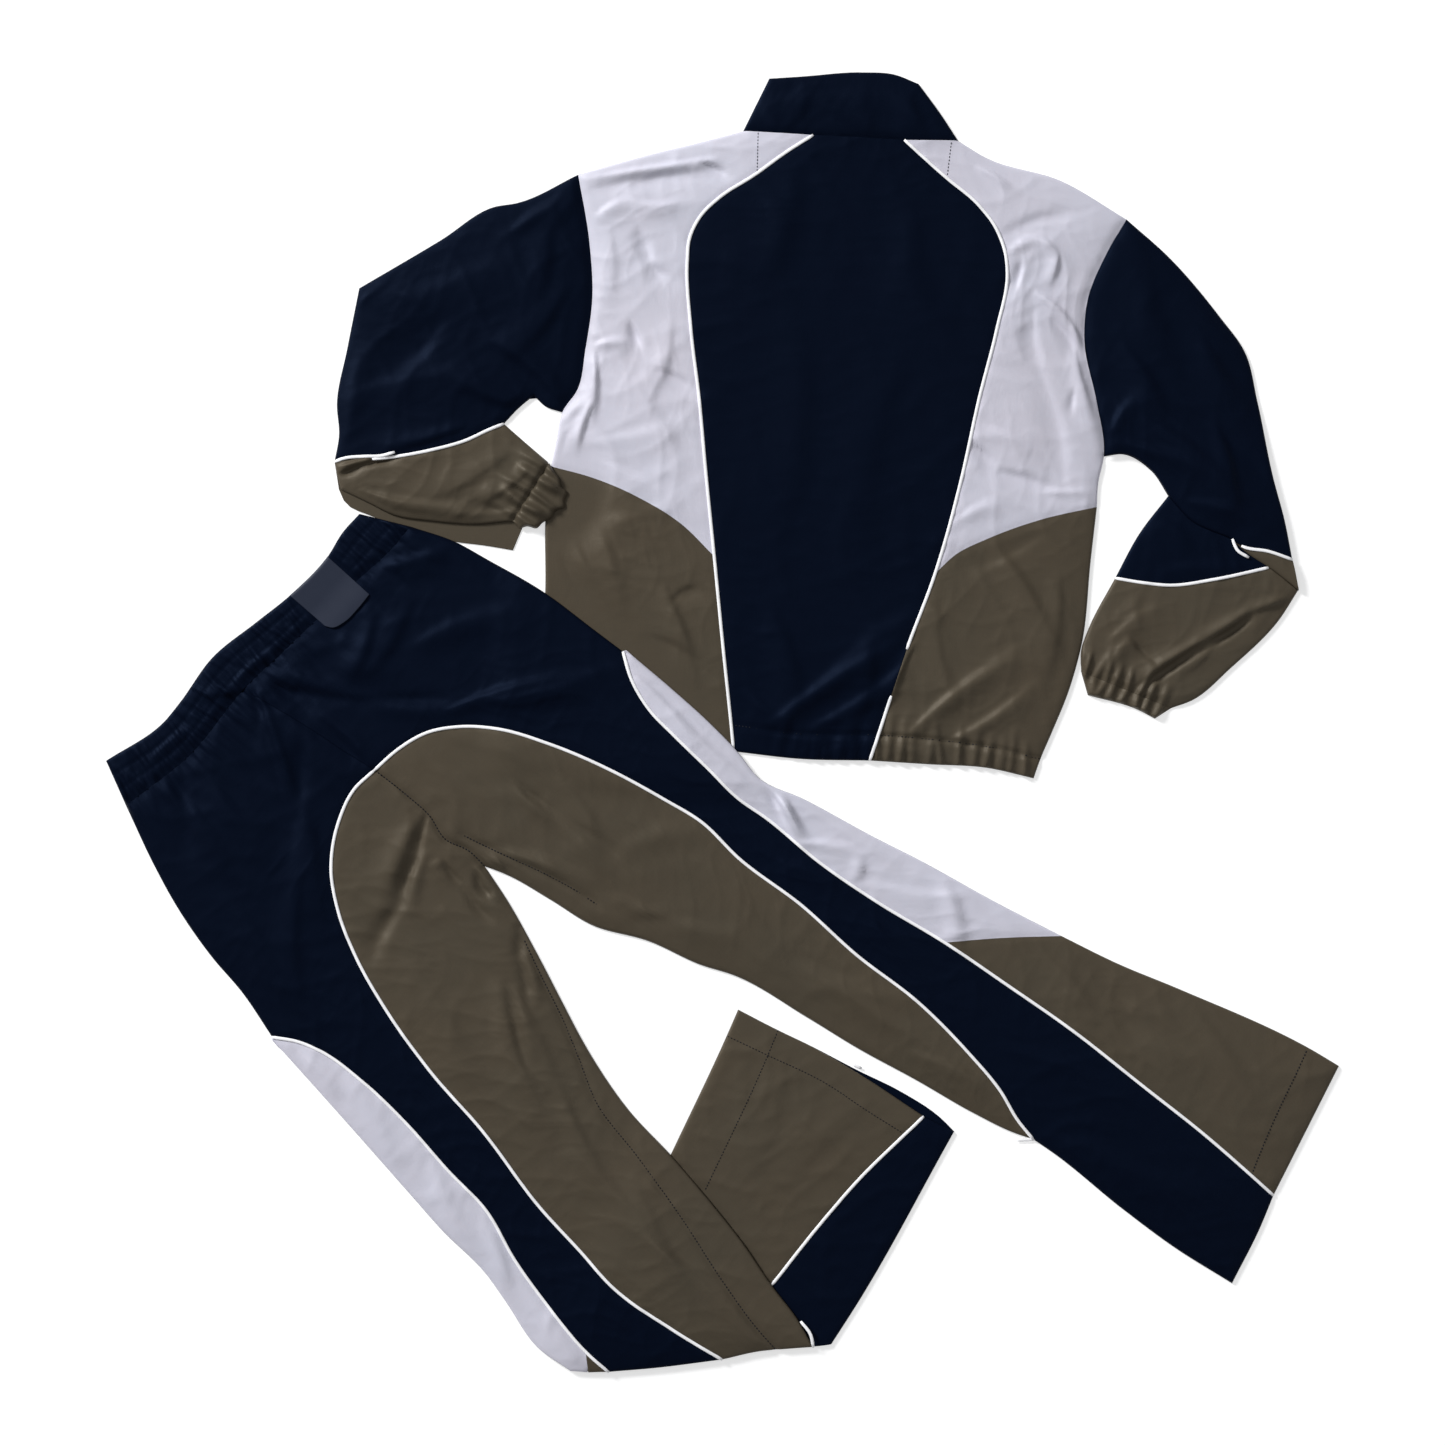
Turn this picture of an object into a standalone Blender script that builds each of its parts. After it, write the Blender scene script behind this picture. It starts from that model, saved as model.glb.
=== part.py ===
"""A tracksuit's jacket and trousers, laid flat with their backs up, the trousers over the jacket's corner.

Metres, +Z up. The surface they lie on is z = 0 and the origin is the middle of the ground they cover.
Each garment has its own pattern rows: how far a point lies down the garment and across it, in
millimetres, from the middle of its neck or waist.
"""
import math

import bmesh
import bpy
from mathutils import Vector
from mathutils.geometry import intersect_point_line

MM = 0.001
WALL = 1.2 * MM                  # cloth
GAP = 0.3 * MM                   # between sewn pieces, and between layers
LAYER = WALL + GAP

# Where each garment's neck or waist lies, and the way its centre line points, in degrees
NECK_AT, JACKET_TURN = (0.1365, 0.5838), -95.5
WAIST_AT, TROUSERS_TURN = (-0.4915, 0.0808), -42.0

PUFF = 5.0 * MM                  # air under the top layer of a body, away from its edges
PUFF_REACH = 60 * MM
GATHER_HIGH = 2.6 * MM           # elastic waist, hem and cuffs
PIPING_WIDE, PIPING_HIGH, PIPING_CLEAR = 3.2 * MM, 1.4 * MM, 0.5 * MM
HEAP_CLEAR = 1.2 * MM            # over a fold's hidden layers
OVER_JACKET = 2 * LAYER + 0.9 * MM      # the trousers' rise over the jacket's two layers
OVER_ARM = 3.4 * MM              # the bent sleeve's rise over its own forearm
OVER_END = 3.6 * MM              # the leg's rise over its folded end

NAVY = (0.004, 0.007, 0.016)
LIGHT = (0.52, 0.50, 0.60)
OLIVE = (0.075, 0.062, 0.043)
WHITE = (0.80, 0.80, 0.80)
SLATE = (0.040, 0.047, 0.070)


# Places and curves

def laid(at, turned):
    """Give the place on the floor of a row (down, across) of a garment."""
    angle = math.radians(turned)
    down = Vector((math.cos(angle), math.sin(angle)))
    across = Vector((-down.y, down.x))
    return lambda row: Vector(at) + down * row[0] * MM + across * row[1] * MM


def measured(at, turned):
    """Give the row (down, across) of a place on the floor, in metres."""
    angle = math.radians(turned)
    down = Vector((math.cos(angle), math.sin(angle)))
    across = Vector((-down.y, down.x))
    return lambda place: ((place - Vector(at)).dot(down), (place - Vector(at)).dot(across))


jacket = laid(NECK_AT, JACKET_TURN)
trousers = laid(WAIST_AT, TROUSERS_TURN)
on_jacket = measured(NECK_AT, JACKET_TURN)
on_trousers = measured(WAIST_AT, TROUSERS_TURN)


def evenly(points, steps):
    """Take steps + 1 points, evenly spaced, along a line of points."""
    lengths = [0.0]
    for a, b in zip(points, points[1:]):
        lengths.append(lengths[-1] + (b - a).length)
    taken, span = [], 0
    for step in range(steps + 1):
        wanted = lengths[-1] * step / steps
        while span < len(points) - 2 and lengths[span + 1] < wanted:
            span += 1
        part = (wanted - lengths[span]) / (lengths[span + 1] - lengths[span])
        taken.append(points[span].lerp(points[span + 1], min(1.0, part)))
    return taken


def smooth(points, pieces=10):
    """Draw a smooth curve through the points; return it with the place of each point in it."""
    knots = [(b - a).length for a, b in zip(points, points[1:])]
    secants = [(b - a) / k for a, b, k in zip(points, points[1:], knots)]
    slopes = [secants[0]]
    for before, after, k0, k1 in zip(secants, secants[1:], knots, knots[1:]):
        slopes.append((before * k1 + after * k0) / (k0 + k1))
    slopes.append(secants[-1])
    drawn = []
    for i, k in enumerate(knots):
        for piece in range(pieces):
            t = piece / pieces
            rise = 3 * t * t - 2 * t ** 3
            drawn.append(points[i] * (1 - rise) + points[i + 1] * rise
                         + slopes[i] * k * (t - 2 * t * t + t ** 3) + slopes[i + 1] * k * (t ** 3 - t * t))
    return drawn + [points[-1]], [i * pieces for i in range(len(points))]


def seam(garment, rows, steps, cuts=()):
    """Draw a seam through pattern rows and cut it at the rows numbered in cuts, each stretch in its steps."""
    drawn, marks = smooth([garment(row) for row in rows])
    ends = [0] + [marks[cut] for cut in cuts] + [len(drawn) - 1]
    stretches = [evenly(drawn[a:b + 1], count) for a, b, count in zip(ends, ends[1:], steps)]
    return stretches if cuts else stretches[0]


def run(*stretches):
    """Join stretches that follow each other."""
    joined = list(stretches[0])
    for stretch in stretches[1:]:
        joined += stretch[1:]
    return joined


def straight(a, b, steps):
    return [a.lerp(b, step / steps) for step in range(steps + 1)]


def at_part(points, part):
    """Find the place at a part, 0 to 1, of a line of evenly counted points."""
    reach = part * (len(points) - 1)
    first = min(int(reach), len(points) - 2)
    return points[first].lerp(points[first + 1], reach - first)


# Heights

def eased(value):
    value = max(0.0, min(1.0, value))
    return value * value * (3 - 2 * value)


def away(place, line):
    """Measure how far a place is from a line of points."""
    nearest = 1.0
    for a, b in zip(line, line[1:]):
        foot, part = intersect_point_line(place, a, b)
        foot = a.lerp(b, max(0.0, min(1.0, part)))
        nearest = min(nearest, (foot - place).length)
    return nearest


def folded(place, garment, folds):
    """Add up the soft ridges (from, to, width, height) of a garment's folds at a place."""
    height = 0.0
    for start, end, width, high in folds:
        a, b = garment(start), garment(end)
        foot, part = intersect_point_line(place, a, b)
        part = max(0.0, min(1.0, part))
        off = (a.lerp(b, part) - place).length / (width * MM)
        height += high * MM * math.exp(-off * off) * (0.35 + 0.65 * math.sin(math.pi * part))
    return height


# Cloth

group = bpy.data.collections.new("tracksuit")


def material(name, colour, roughness=0.55):
    made = bpy.data.materials.new(name)
    made.use_nodes = True
    shader = made.node_tree.nodes["Principled BSDF"]
    shader.inputs["Base Color"].default_value = (*colour, 1.0)
    shader.inputs["Roughness"].default_value = roughness
    return made


def stand(bm, name, colour):
    """Close the bmesh as a named object."""
    bmesh.ops.recalc_face_normals(bm, faces=bm.faces)
    mesh = bpy.data.meshes.new(name)
    bm.to_mesh(mesh)
    bm.free()
    made = bpy.data.objects.new(name, mesh)
    made.data.materials.append(material(name, colour))
    group.objects.link(made)
    return made


def thicken(bm, wall):
    """Give an open sheet its wall, straight down, so that seams stay open; wall is a depth or a function."""
    grown = bmesh.ops.extrude_face_region(bm, geom=bm.faces[:])
    for vert in grown["geom"]:
        if isinstance(vert, bmesh.types.BMVert):
            vert.co.z -= wall(vert.co.xy) if callable(wall) else wall


def draw_in(bm, gap):
    """Shrink a flat sheet by half a seam's gap, keeping its faces."""
    rim = bmesh.ops.inset_region(bm, faces=bm.faces[:], thickness=gap, use_boundary=True, use_even_offset=True)
    bmesh.ops.delete(bm, geom=rim["faces"], context="FACES")


def sheet(top, bottom, left, right, refine=0, refined_rows=0):
    """Fill four sides with a grid; refine splits the columns of the lowest rows for gathers."""
    columns, rows = len(top) - 1, len(left) - 1
    bm = bmesh.new()
    bmesh.ops.create_grid(bm, x_segments=columns, y_segments=rows, size=0.5)
    if refine:
        lowest = refined_rows / rows - 0.5 + 1e-4
        across = [e for e in bm.edges if all(v.co.y < lowest for v in e.verts)
                  and abs(e.verts[0].co.y - e.verts[1].co.y) < 1e-6]
        bmesh.ops.subdivide_edges(bm, edges=across, cuts=refine - 1)
    part = bm.verts.layers.float_vector.new("part")
    for vert in bm.verts:
        u, v = vert.co.x + 0.5, 0.5 - vert.co.y
        corners = ((top[0] * (1 - u) + top[-1] * u) * (1 - v) + (bottom[0] * (1 - u) + bottom[-1] * u) * v)
        place = (at_part(top, u) * (1 - v) + at_part(bottom, u) * v
                 + at_part(left, v) * (1 - u) + at_part(right, v) * u - corners)
        vert[part] = (u, v, 0)
        vert.co = (place.x, place.y, 0)
    bmesh.ops.remove_doubles(bm, verts=bm.verts[:], dist=1e-6)
    return bm, part


def everywhere(place):
    return 1.0


def panel(name, colour, sides, height, refine=0, refined_rows=0, gathers=0, fade=0.0, loose=everywhere):
    """Make a sewn piece: a grid between its seams, raised to its height, with gathers at its lower edge."""
    bm, part = sheet(*sides, refine, refined_rows)
    draw_in(bm, GAP / 2)
    for vert in bm.verts:
        u, v, _ = vert[part]
        vert.co.z = height(vert.co.xy) + WALL
        if gathers:
            crest = 0.5 - 0.5 * math.cos(2 * math.pi * gathers * u)
            fading = eased((v - 1 + fade) / fade) if fade else 1.0
            vert.co.z += GATHER_HIGH * crest * fading * loose(vert.co.xy)
    thicken(bm, WALL)
    return stand(bm, name, colour)


def under(name, colour, sides, wall=WALL, base=0.0):
    """Make a hidden layer: one flat face between the same seams, lying on the surface."""
    bm, _ = sheet(*sides)
    draw_in(bm, GAP / 2)
    bmesh.ops.dissolve_faces(bm, faces=bm.faces[:])
    for vert in bm.verts:
        vert.co.z = base + wall
    thicken(bm, wall)
    bmesh.ops.triangulate(bm, faces=bm.faces[:])
    return stand(bm, name, colour)


def heap(name, colour, sides, ceiling):
    """Make the hidden layers of a fold: one solid from the surface to just under the cloth above."""
    bm, _ = sheet(*sides)
    draw_in(bm, GAP)
    for vert in bm.verts:
        vert.co.z = max(WALL, ceiling(vert.co.xy) - HEAP_CLEAR)
    thicken(bm, lambda place: max(WALL, ceiling(place) - HEAP_CLEAR))
    return stand(bm, name, colour)


def strip(name, colour, line, height, wide=PIPING_WIDE, high=PIPING_HIGH, clear=PIPING_CLEAR):
    """Lay piping along a seam, just above the cloth on both sides of it."""
    bm = bmesh.new()
    bmesh.ops.create_grid(bm, x_segments=1, y_segments=len(line) - 1, size=0.5)
    for vert in bm.verts:
        index = round((0.5 - vert.co.y) * (len(line) - 1))
        ahead = line[min(index + 1, len(line) - 1)] - line[max(index - 1, 0)]
        side = Vector((-ahead.y, ahead.x)).normalized() * wide / 2
        highest = max(height(line[index] + side * part) for part in (-1.3, 0, 1.3))
        place = line[index] + side * (1 if vert.co.x > 0 else -1)
        vert.co = (place.x, place.y, highest + WALL + clear + high)
    thicken(bm, high)
    return stand(bm, name, colour)


# The jacket's seams, rows (down, across) in millimetres

PIPING_LEFT = ((2, -46), (23, -73), (46, -99), (74, -134), (93, -150), (117, -159), (139, -159), (206, -149),
               (275, -134), (344, -121), (430, -104), (522, -86), (596, -71), (618, -67))
PIPING_RIGHT = ((-2, 45), (16, 69), (32, 91), (54, 123), (75, 143), (101, 156), (121, 160), (177, 155),
                (248, 144), (330, 134), (426, 117), (504, 96), (592, 76), (614, 71))
BASE = ((4, -116), (2, -46), (0, 0), (-2, 45), (-7, 99))
SHOULDER_LEFT = ((4, -116), (19, -157), (36, -206), (63, -276))
SHOULDER_RIGHT = ((-7, 99), (7, 128), (23, 205), (55, 274))
ARMHOLE_LEFT = ((63, -276), (126, -259), (186, -250), (236, -252), (277, -256), (301, -269), (329, -272),
                (356, -275))
ARMHOLE_RIGHT = ((55, 274), (92, 257), (138, 243), (183, 244), (237, 261), (293, 274), (321, 271), (344, 272))
SIDE_LEFT = ((356, -275), (399, -276), (479, -269), (569, -265), (609, -266), (631, -267))
SIDE_RIGHT = ((344, 272), (397, 271), (482, 270), (528, 262), (575, 248), (600, 240), (620, 235))
CROSS_LEFT = ((356, -275), (363, -234), (380, -182), (401, -140), (430, -104))
CROSS_RIGHT = ((426, 117), (405, 136), (387, 165), (362, 218), (344, 272))
HEM_LEFT = ((631, -267), (624, -160), (618, -67))
HEM_BACK = ((618, -67), (621, 1), (614, 71))
HEM_RIGHT = ((614, 71), (613, 131), (614, 187), (620, 235))
COLLAR_LEFT = ((-51, -95), (-17, -108), (4, -116))
COLLAR_TOP = ((-51, -95), (-56, -64), (-66, -4), (-67, 29), (-60, 54))
COLLAR_RIGHT = ((-60, 54), (-32, 79), (-7, 99))

neck_left, neck_back, neck_right = seam(jacket, BASE, (2, 8, 2), cuts=(1, 3))
piping_left = seam(jacket, PIPING_LEFT, (10, 4, 1), cuts=(10, 12))
piping_right = seam(jacket, PIPING_RIGHT, (10, 4, 1), cuts=(10, 12))
shoulder_left = seam(jacket, SHOULDER_LEFT, (6,))
shoulder_right = seam(jacket, SHOULDER_RIGHT, (6,))
armhole_left, upper_side_left = seam(jacket, ARMHOLE_LEFT, (8, 2), cuts=(5,))
armhole_right, upper_side_right = seam(jacket, ARMHOLE_RIGHT, (8, 2), cuts=(5,))
side_left, casing_side_left = seam(jacket, SIDE_LEFT, (4, 1), cuts=(4,))
side_right, casing_side_right = seam(jacket, SIDE_RIGHT, (4, 1), cuts=(5,))
cross_left = seam(jacket, CROSS_LEFT, (8,))
cross_right = seam(jacket, CROSS_RIGHT, (8,))
hem_left = seam(jacket, HEM_LEFT, (8,))
hem_back = seam(jacket, HEM_BACK, (8,))
hem_right = seam(jacket, HEM_RIGHT, (8,))
collar_left = seam(jacket, COLLAR_LEFT, (3,))
collar_top = seam(jacket, COLLAR_TOP, (12,))
collar_right = seam(jacket, COLLAR_RIGHT, (3,))

body_outline = run(collar_left[-1:], shoulder_left, armhole_left, upper_side_left, side_left,
                   casing_side_left, hem_left, hem_back, hem_right, casing_side_right[::-1],
                   side_right[::-1], upper_side_right[::-1], armhole_right[::-1], shoulder_right[::-1])

# The jacket's largest folds: from, to, width, height
BODY_FOLDS = (
    ((215, -265), (325, -262), 16, 3.0),
    ((150, 170), (262, 215), 20, 4.0),
    ((95, 165), (150, 215), 18, 3.0),
    ((90, -215), (205, -200), 18, 3.5),
    ((560, 40), (590, -60), 14, 3.0),
    ((400, 180), (480, 235), 18, 3.0),
    ((560, 110), (500, 215), 16, 3.5),
    ((470, -150), (560, -110), 16, 3.0),
)
SLEEVE_FOLDS = (
    ((120, -330), (250, -390), 24, 4.0),
    ((200, -300), (300, -440), 20, 4.0),
    ((120, 310), (270, 330), 24, 4.0),
    ((230, 300), (340, 420), 20, 4.0),
)


CUFF_ON_BODY = (385, -265)       # where the left cuff rests on the body
CUFF_REST = 40 * MM
TROUSERS_REACH = 264 * MM        # how far across the trousers lie on the jacket


TROUSERS_FROM, TROUSERS_FALL = 60 * MM, 90 * MM     # where the trousers lie on the jacket, and how they lift off


def unpressed(place):
    """Say how free the jacket is of what lies on it, 0 under the trousers or the cuff and 1 well away."""
    down, across = on_trousers(place)
    from_trousers = eased((across - TROUSERS_REACH) / TROUSERS_FALL) if down > TROUSERS_FROM else 1.0
    return from_trousers * eased(((place - jacket(CUFF_ON_BODY)).length - CUFF_REST) / CUFF_REST)


def jacket_back(place):
    edge = away(place, body_outline)
    free = unpressed(place)
    rise = PUFF * (1 - math.exp(-edge / PUFF_REACH * 2))
    return LAYER + free * (rise + folded(place, jacket, BODY_FOLDS) * eased(edge / (20 * MM)))


def collar_height(place):
    return LAYER + 2.5 * MM * (1 - math.exp(-away(place, collar_line) / (12 * MM)))


collar_line = run(collar_left[::-1], collar_top, collar_right)

# The sleeves, rows (down, across) of the jacket in millimetres

ARM_LEFT_TOP = ((63, -276), (97, -334), (103, -356), (141, -406), (197, -483))
ARM_LEFT_END = ((197, -483), (257, -489), (315, -494), (345, -489), (372, -491))
ARM_LEFT_PIT = ((301, -269), (297, -286), (287, -299))
ARM_LEFT_BEND = ((287, -299), (301, -313), (318, -326))
ARM_LEFT_PIPING = ((318, -326), (334, -358), (348, -397), (356, -431), (365, -465), (372, -491))
FOREARM_LEFT_TIP = ((372, -491), (388, -486), (399, -482))
FOREARM_LEFT_LOW = ((399, -482), (409, -455), (420, -425), (422, -389), (421, -345), (414, -308))
FOREARM_LEFT_IN = ((318, -326), (336, -301), (353, -277))
FOREARM_LEFT_UNDER = ((399, -484), (409, -476), (420, -447), (428, -421), (437, -365), (438, -333), (440, -306))
CUFF_LEFT_OUT = ((362, -270), (376, -258), (387, -256), (401, -268), (415, -284), (421, -300))
ARM_RIGHT_TOP = ((55, 274), (88, 319), (143, 376), (175, 404), (225, 422), (295, 443), (341, 460), (378, 471))
ARM_RIGHT_PIT = ((293, 274), (289, 293), (303, 323), (326, 342))
ARM_RIGHT_END = ((326, 342), (349, 367), (363, 407))
ARM_RIGHT_PIPING = ((363, 407), (370, 421), (372, 445), (378, 471))
TURN_RIGHT = ((363, 407), (377, 427), (388, 448), (408, 480))
FOREARM_RIGHT_IN = ((326, 342), (366, 317), (413, 297), (467, 275), (488, 270), (509, 272))
FOREARM_RIGHT_PIPING = ((413, 297), (415, 323), (415, 352), (405, 395), (388, 448))
FOREARM_RIGHT_OUT = ((408, 480), (439, 464), (491, 417), (526, 382), (532, 363))
CUFF_RIGHT_OUT = ((532, 281), (542, 333), (547, 350))

arm_left_top = seam(jacket, ARM_LEFT_TOP, (7,))
arm_left_end = seam(jacket, ARM_LEFT_END, (8,))
arm_left_pit = run(seam(jacket, ARM_LEFT_PIT, (1,)), seam(jacket, ARM_LEFT_BEND, (1,)))
arm_left_piping = seam(jacket, ARM_LEFT_PIPING, (5,))
forearm_left_tip = seam(jacket, FOREARM_LEFT_TIP, (4,))
forearm_left_low = seam(jacket, FOREARM_LEFT_LOW, (5,))
cuff_seam_left = straight(jacket((353, -277)), jacket((414, -308)), 2)
forearm_left_in = run(seam(jacket, FOREARM_LEFT_IN, (2,)), cuff_seam_left)
cuff_left_out = seam(jacket, CUFF_LEFT_OUT, (6,))
arm_right_top = seam(jacket, ARM_RIGHT_TOP, (5, 3), cuts=(5,))
arm_right_pit = seam(jacket, ARM_RIGHT_PIT, (5, 3), cuts=(2,))
arm_right_end = seam(jacket, ARM_RIGHT_END, (4,))
arm_right_piping = seam(jacket, ARM_RIGHT_PIPING, (4,))
turn_right = seam(jacket, TURN_RIGHT, (3, 1), cuts=(2,))
middle_right_in, lower_right_in = seam(jacket, FOREARM_RIGHT_IN, (3, 5), cuts=(2,))
forearm_right_piping = seam(jacket, FOREARM_RIGHT_PIPING, (7,))
forearm_right_out = seam(jacket, FOREARM_RIGHT_OUT, (5,))
cuff_seam_right = straight(lower_right_in[-1], forearm_right_out[-1], 8)
cuff_right_out = seam(jacket, CUFF_RIGHT_OUT, (8,))

arm_left_outline = run(arm_left_top, arm_left_end, forearm_left_tip, forearm_left_low)
arm_right_outline = run(run(*arm_right_pit)[::-1], armhole_right[::-1], *arm_right_top)
forearm_right_outline = run(middle_right_in, lower_right_in)


CUFF_START, CUFF_RISE = (325 * MM, 330 * MM), (45 * MM, 20 * MM)    # where the cuff comes to lie on the body
CUFF_OVER = 0.5 * MM


def arm_left(place):
    down, across = on_jacket(place)
    edge = min(away(place, arm_left_outline), away(place, armhole_left), away(place, arm_left_pit))
    rise = PUFF * (1 - math.exp(-edge / PUFF_REACH * 2))
    rise += folded(place, jacket, SLEEVE_FOLDS) * eased(edge / (20 * MM))
    cuff = eased((across + CUFF_START[0]) / CUFF_RISE[0]) * eased((down - CUFF_START[1]) / CUFF_RISE[1])
    return LAYER + rise * (1 - cuff) + cuff * (LAYER + CUFF_OVER)


ARM_LIFT_FROM, ARM_LIFT_REACH = 210 * MM, 90 * MM


def arm_right(place):
    down, across = on_jacket(place)
    edge = away(place, arm_right_outline)
    rise = PUFF * (1 - math.exp(-edge / PUFF_REACH * 2))
    rise += folded(place, jacket, SLEEVE_FOLDS) * eased(edge / (20 * MM))
    return LAYER + rise + OVER_ARM * eased((down - ARM_LIFT_FROM) / ARM_LIFT_REACH)


def forearm_right(place):
    edge = min(away(place, forearm_right_outline), away(place, forearm_right_out))
    return LAYER + PUFF * 0.6 * (1 - math.exp(-edge / PUFF_REACH * 2))


# The trousers' seams, rows (down, across) in millimetres

WAIST_TOP = ((-13, -172), (4, -104), (3, -81), (-3, -23), (6, 32), (13, 74), (15, 128), (10, 156), (9, 175))
WAIST_SEAM = ((32, -192), (46, -111), (42, -27), (47, 38), (53, 124), (58, 182), (56, 199))
CENTRE_BACK = ((42, -27), (106, -13), (159, -5), (193, 1), (235, 4), (264, 4), (291, -3), (317, 4), (339, 3))
OUTER_LEFT = ((32, -192), (94, -218), (134, -232), (197, -247), (243, -253), (295, -266))
OUTER_LEFT_LOW = ((298, -268), (410, -280), (506, -291), (550, -296), (612, -299), (644, -306), (701, -319),
                  (740, -314))
OUTER_PIPING_LEFT = ((295, -266), (317, -252), (339, -244), (393, -238), (455, -240), (516, -247), (570, -251),
                     (625, -269), (687, -282), (738, -289), (769, -289))
ARCH_LEFT = ((193, 1), (191, -27), (201, -61), (226, -100), (261, -128), (300, -148), (355, -167), (436, -185),
             (514, -194), (610, -213), (665, -218), (719, -223), (785, -215), (845, -204))
INNER_LEFT = ((339, 3), (370, -9), (414, -25), (461, -46), (523, -65), (547, -70), (610, -82), (670, -87),
              (744, -97), (779, -103), (832, -116), (874, -124), (904, -134))
FOLD_LEFT = ((769, -289), (800, -256), (845, -204))
FOLD_INNER = ((845, -204), (868, -172), (882, -157), (904, -134))
OUTER_RIGHT = ((56, 199), (102, 222), (198, 246), (264, 252), (298, 255))
OUTER_RIGHT_LOW = ((300, 258), (360, 260), (410, 260), (452, 257), (484, 252), (530, 266), (612, 286),
                   (656, 298), (742, 318), (814, 337))
SHIN_RIGHT = ((814, 337), (874, 354), (936, 376), (1081, 421), (1107, 426))
OUTER_PIPING_RIGHT = ((298, 255), (323, 240), (359, 229), (389, 227), (440, 225), (483, 223), (515, 227),
                      (587, 230), (654, 239), (731, 254), (804, 264), (884, 274), (975, 280), (1053, 285),
                      (1114, 286), (1145, 286))
ARCH_RIGHT = ((193, 1), (197, 34), (207, 64), (228, 91), (257, 114), (307, 138), (369, 159), (428, 173),
              (470, 181), (523, 179), (600, 186), (675, 186), (751, 192), (823, 188), (872, 181), (904, 171),
              (929, 167))
INNER_RIGHT = ((339, 3), (360, 11), (410, 22), (458, 31), (511, 57), (565, 74), (598, 89), (678, 106),
               (737, 117), (804, 133), (865, 146), (913, 160), (929, 167))
HEM_END_RIGHT = ((929, 167), (951, 170), (1042, 175), (1105, 181), (1173, 193))
HEM_STRIPE = ((1173, 193), (1157, 252), (1145, 286))
HEM_SHIN = ((1145, 286), (1107, 426))
CROSS_LEG = ((731, 254), (773, 298), (814, 337))
END_TOP = ((623, 66), (665, 77), (699, 87), (754, 99), (832, 111))
END_LEFT = ((623, 66), (632, 39), (670, -87))
END_PIPING = ((832, 111), (830, 85), (826, 25), (827, -38), (832, -116))
END_RIGHT = ((865, 120), (909, -77), (916, -120))

waist_left, waist_right = seam(trousers, WAIST_SEAM, (8, 8), cuts=(2,))
waist_top = seam(trousers, WAIST_TOP, (16,))
centre_back, crotch = seam(trousers, CENTRE_BACK, (4, 4), cuts=(3,))
outer_left = seam(trousers, OUTER_LEFT, (8,))
outer_left_low = seam(trousers, OUTER_LEFT_LOW, (12,))
outer_piping_left, toe_left = seam(trousers, OUTER_PIPING_LEFT, (12, 1), cuts=(9,))
arch_left = seam(trousers, ARCH_LEFT, (17,))
inner_left = seam(trousers, INNER_LEFT, (10, 1, 4, 2), cuts=(6, 7, 10))
fold_left = seam(trousers, FOLD_LEFT, (8,))
fold_inner = seam(trousers, FOLD_INNER, (4,))
outer_right = seam(trousers, OUTER_RIGHT, (7,))
outer_right_low = seam(trousers, OUTER_RIGHT_LOW, (11,))
shin_right = seam(trousers, SHIN_RIGHT, (10,))
outer_piping_right = seam(trousers, OUTER_PIPING_RIGHT, (11, 10), cuts=(9,))
arch_right = seam(trousers, ARCH_RIGHT, (20,))
inner_right = seam(trousers, INNER_RIGHT, (20,))
inner_right_low = seam(trousers, HEM_END_RIGHT, (4,))
hem_stripe = seam(trousers, HEM_STRIPE, (8,))
hem_shin = seam(trousers, HEM_SHIN, (5,))
cross_leg = seam(trousers, CROSS_LEG, (5,))
end_top = seam(trousers, END_TOP, (4,))
end_left = seam(trousers, END_LEFT, (6,))
end_piping = seam(trousers, END_PIPING, (6,))
end_right = seam(trousers, END_RIGHT, (6,))

leg_outline = (run(outer_left, outer_left_low), run(run(*inner_left)[::-1], inner_right),
               run(outer_right, outer_right_low, shin_right, hem_shin[::-1], hem_stripe[::-1],
                   inner_right_low[::-1]), waist_left, waist_right)

TROUSERS_FOLDS = (
    ((70, -170), (185, -120), 20, 3.5),
    ((75, -60), (170, -35), 20, 3.5),
    ((150, 70), (120, 190), 18, 3.0),
    ((330, 20), (300, 110), 22, 4.0),
    ((345, -20), (380, -110), 22, 4.0),
    ((430, 60), (520, 140), 20, 3.0),
    ((470, -80), (600, -150), 20, 3.0),
    ((640, 140), (740, 210), 22, 3.0),
)


def over_jacket(place, full, fall):
    """Rise over the jacket's corner: full within a reach of it, then falling away."""
    down, across = on_jacket(place)
    apart = math.hypot(max(0.0, -across - 277 * MM), max(0.0, down - 634 * MM))
    return OVER_JACKET * eased(1 - (apart - full) / fall)


END_FROM, END_SLANT, END_CORNER = 671 * MM, 0.30, 86 * MM      # the line under which the folded end lies


def over_end(place, full, fall):
    """Rise over the leg's folded end, which lies past the line from its toe to its inner corner."""
    down, across = on_trousers(place)
    apart = max(0.0, END_FROM + END_SLANT * (-across - END_CORNER) - down)
    return OVER_END * eased(1 - (apart - full) / fall) if across < 0.0 else 0.0


def trousers_back(place):
    edge = min(away(place, line) for line in leg_outline)
    rise = PUFF * (1 - math.exp(-edge / PUFF_REACH * 2))
    rise += folded(place, trousers, TROUSERS_FOLDS) * eased(edge / (20 * MM))
    return LAYER + rise + over_jacket(place, 60 * MM, 80 * MM) + over_end(place, 0.0, 90 * MM)


def trousers_front(place):
    return over_jacket(place, 35 * MM, 45 * MM)


def end_height(place):
    return LAYER


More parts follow.
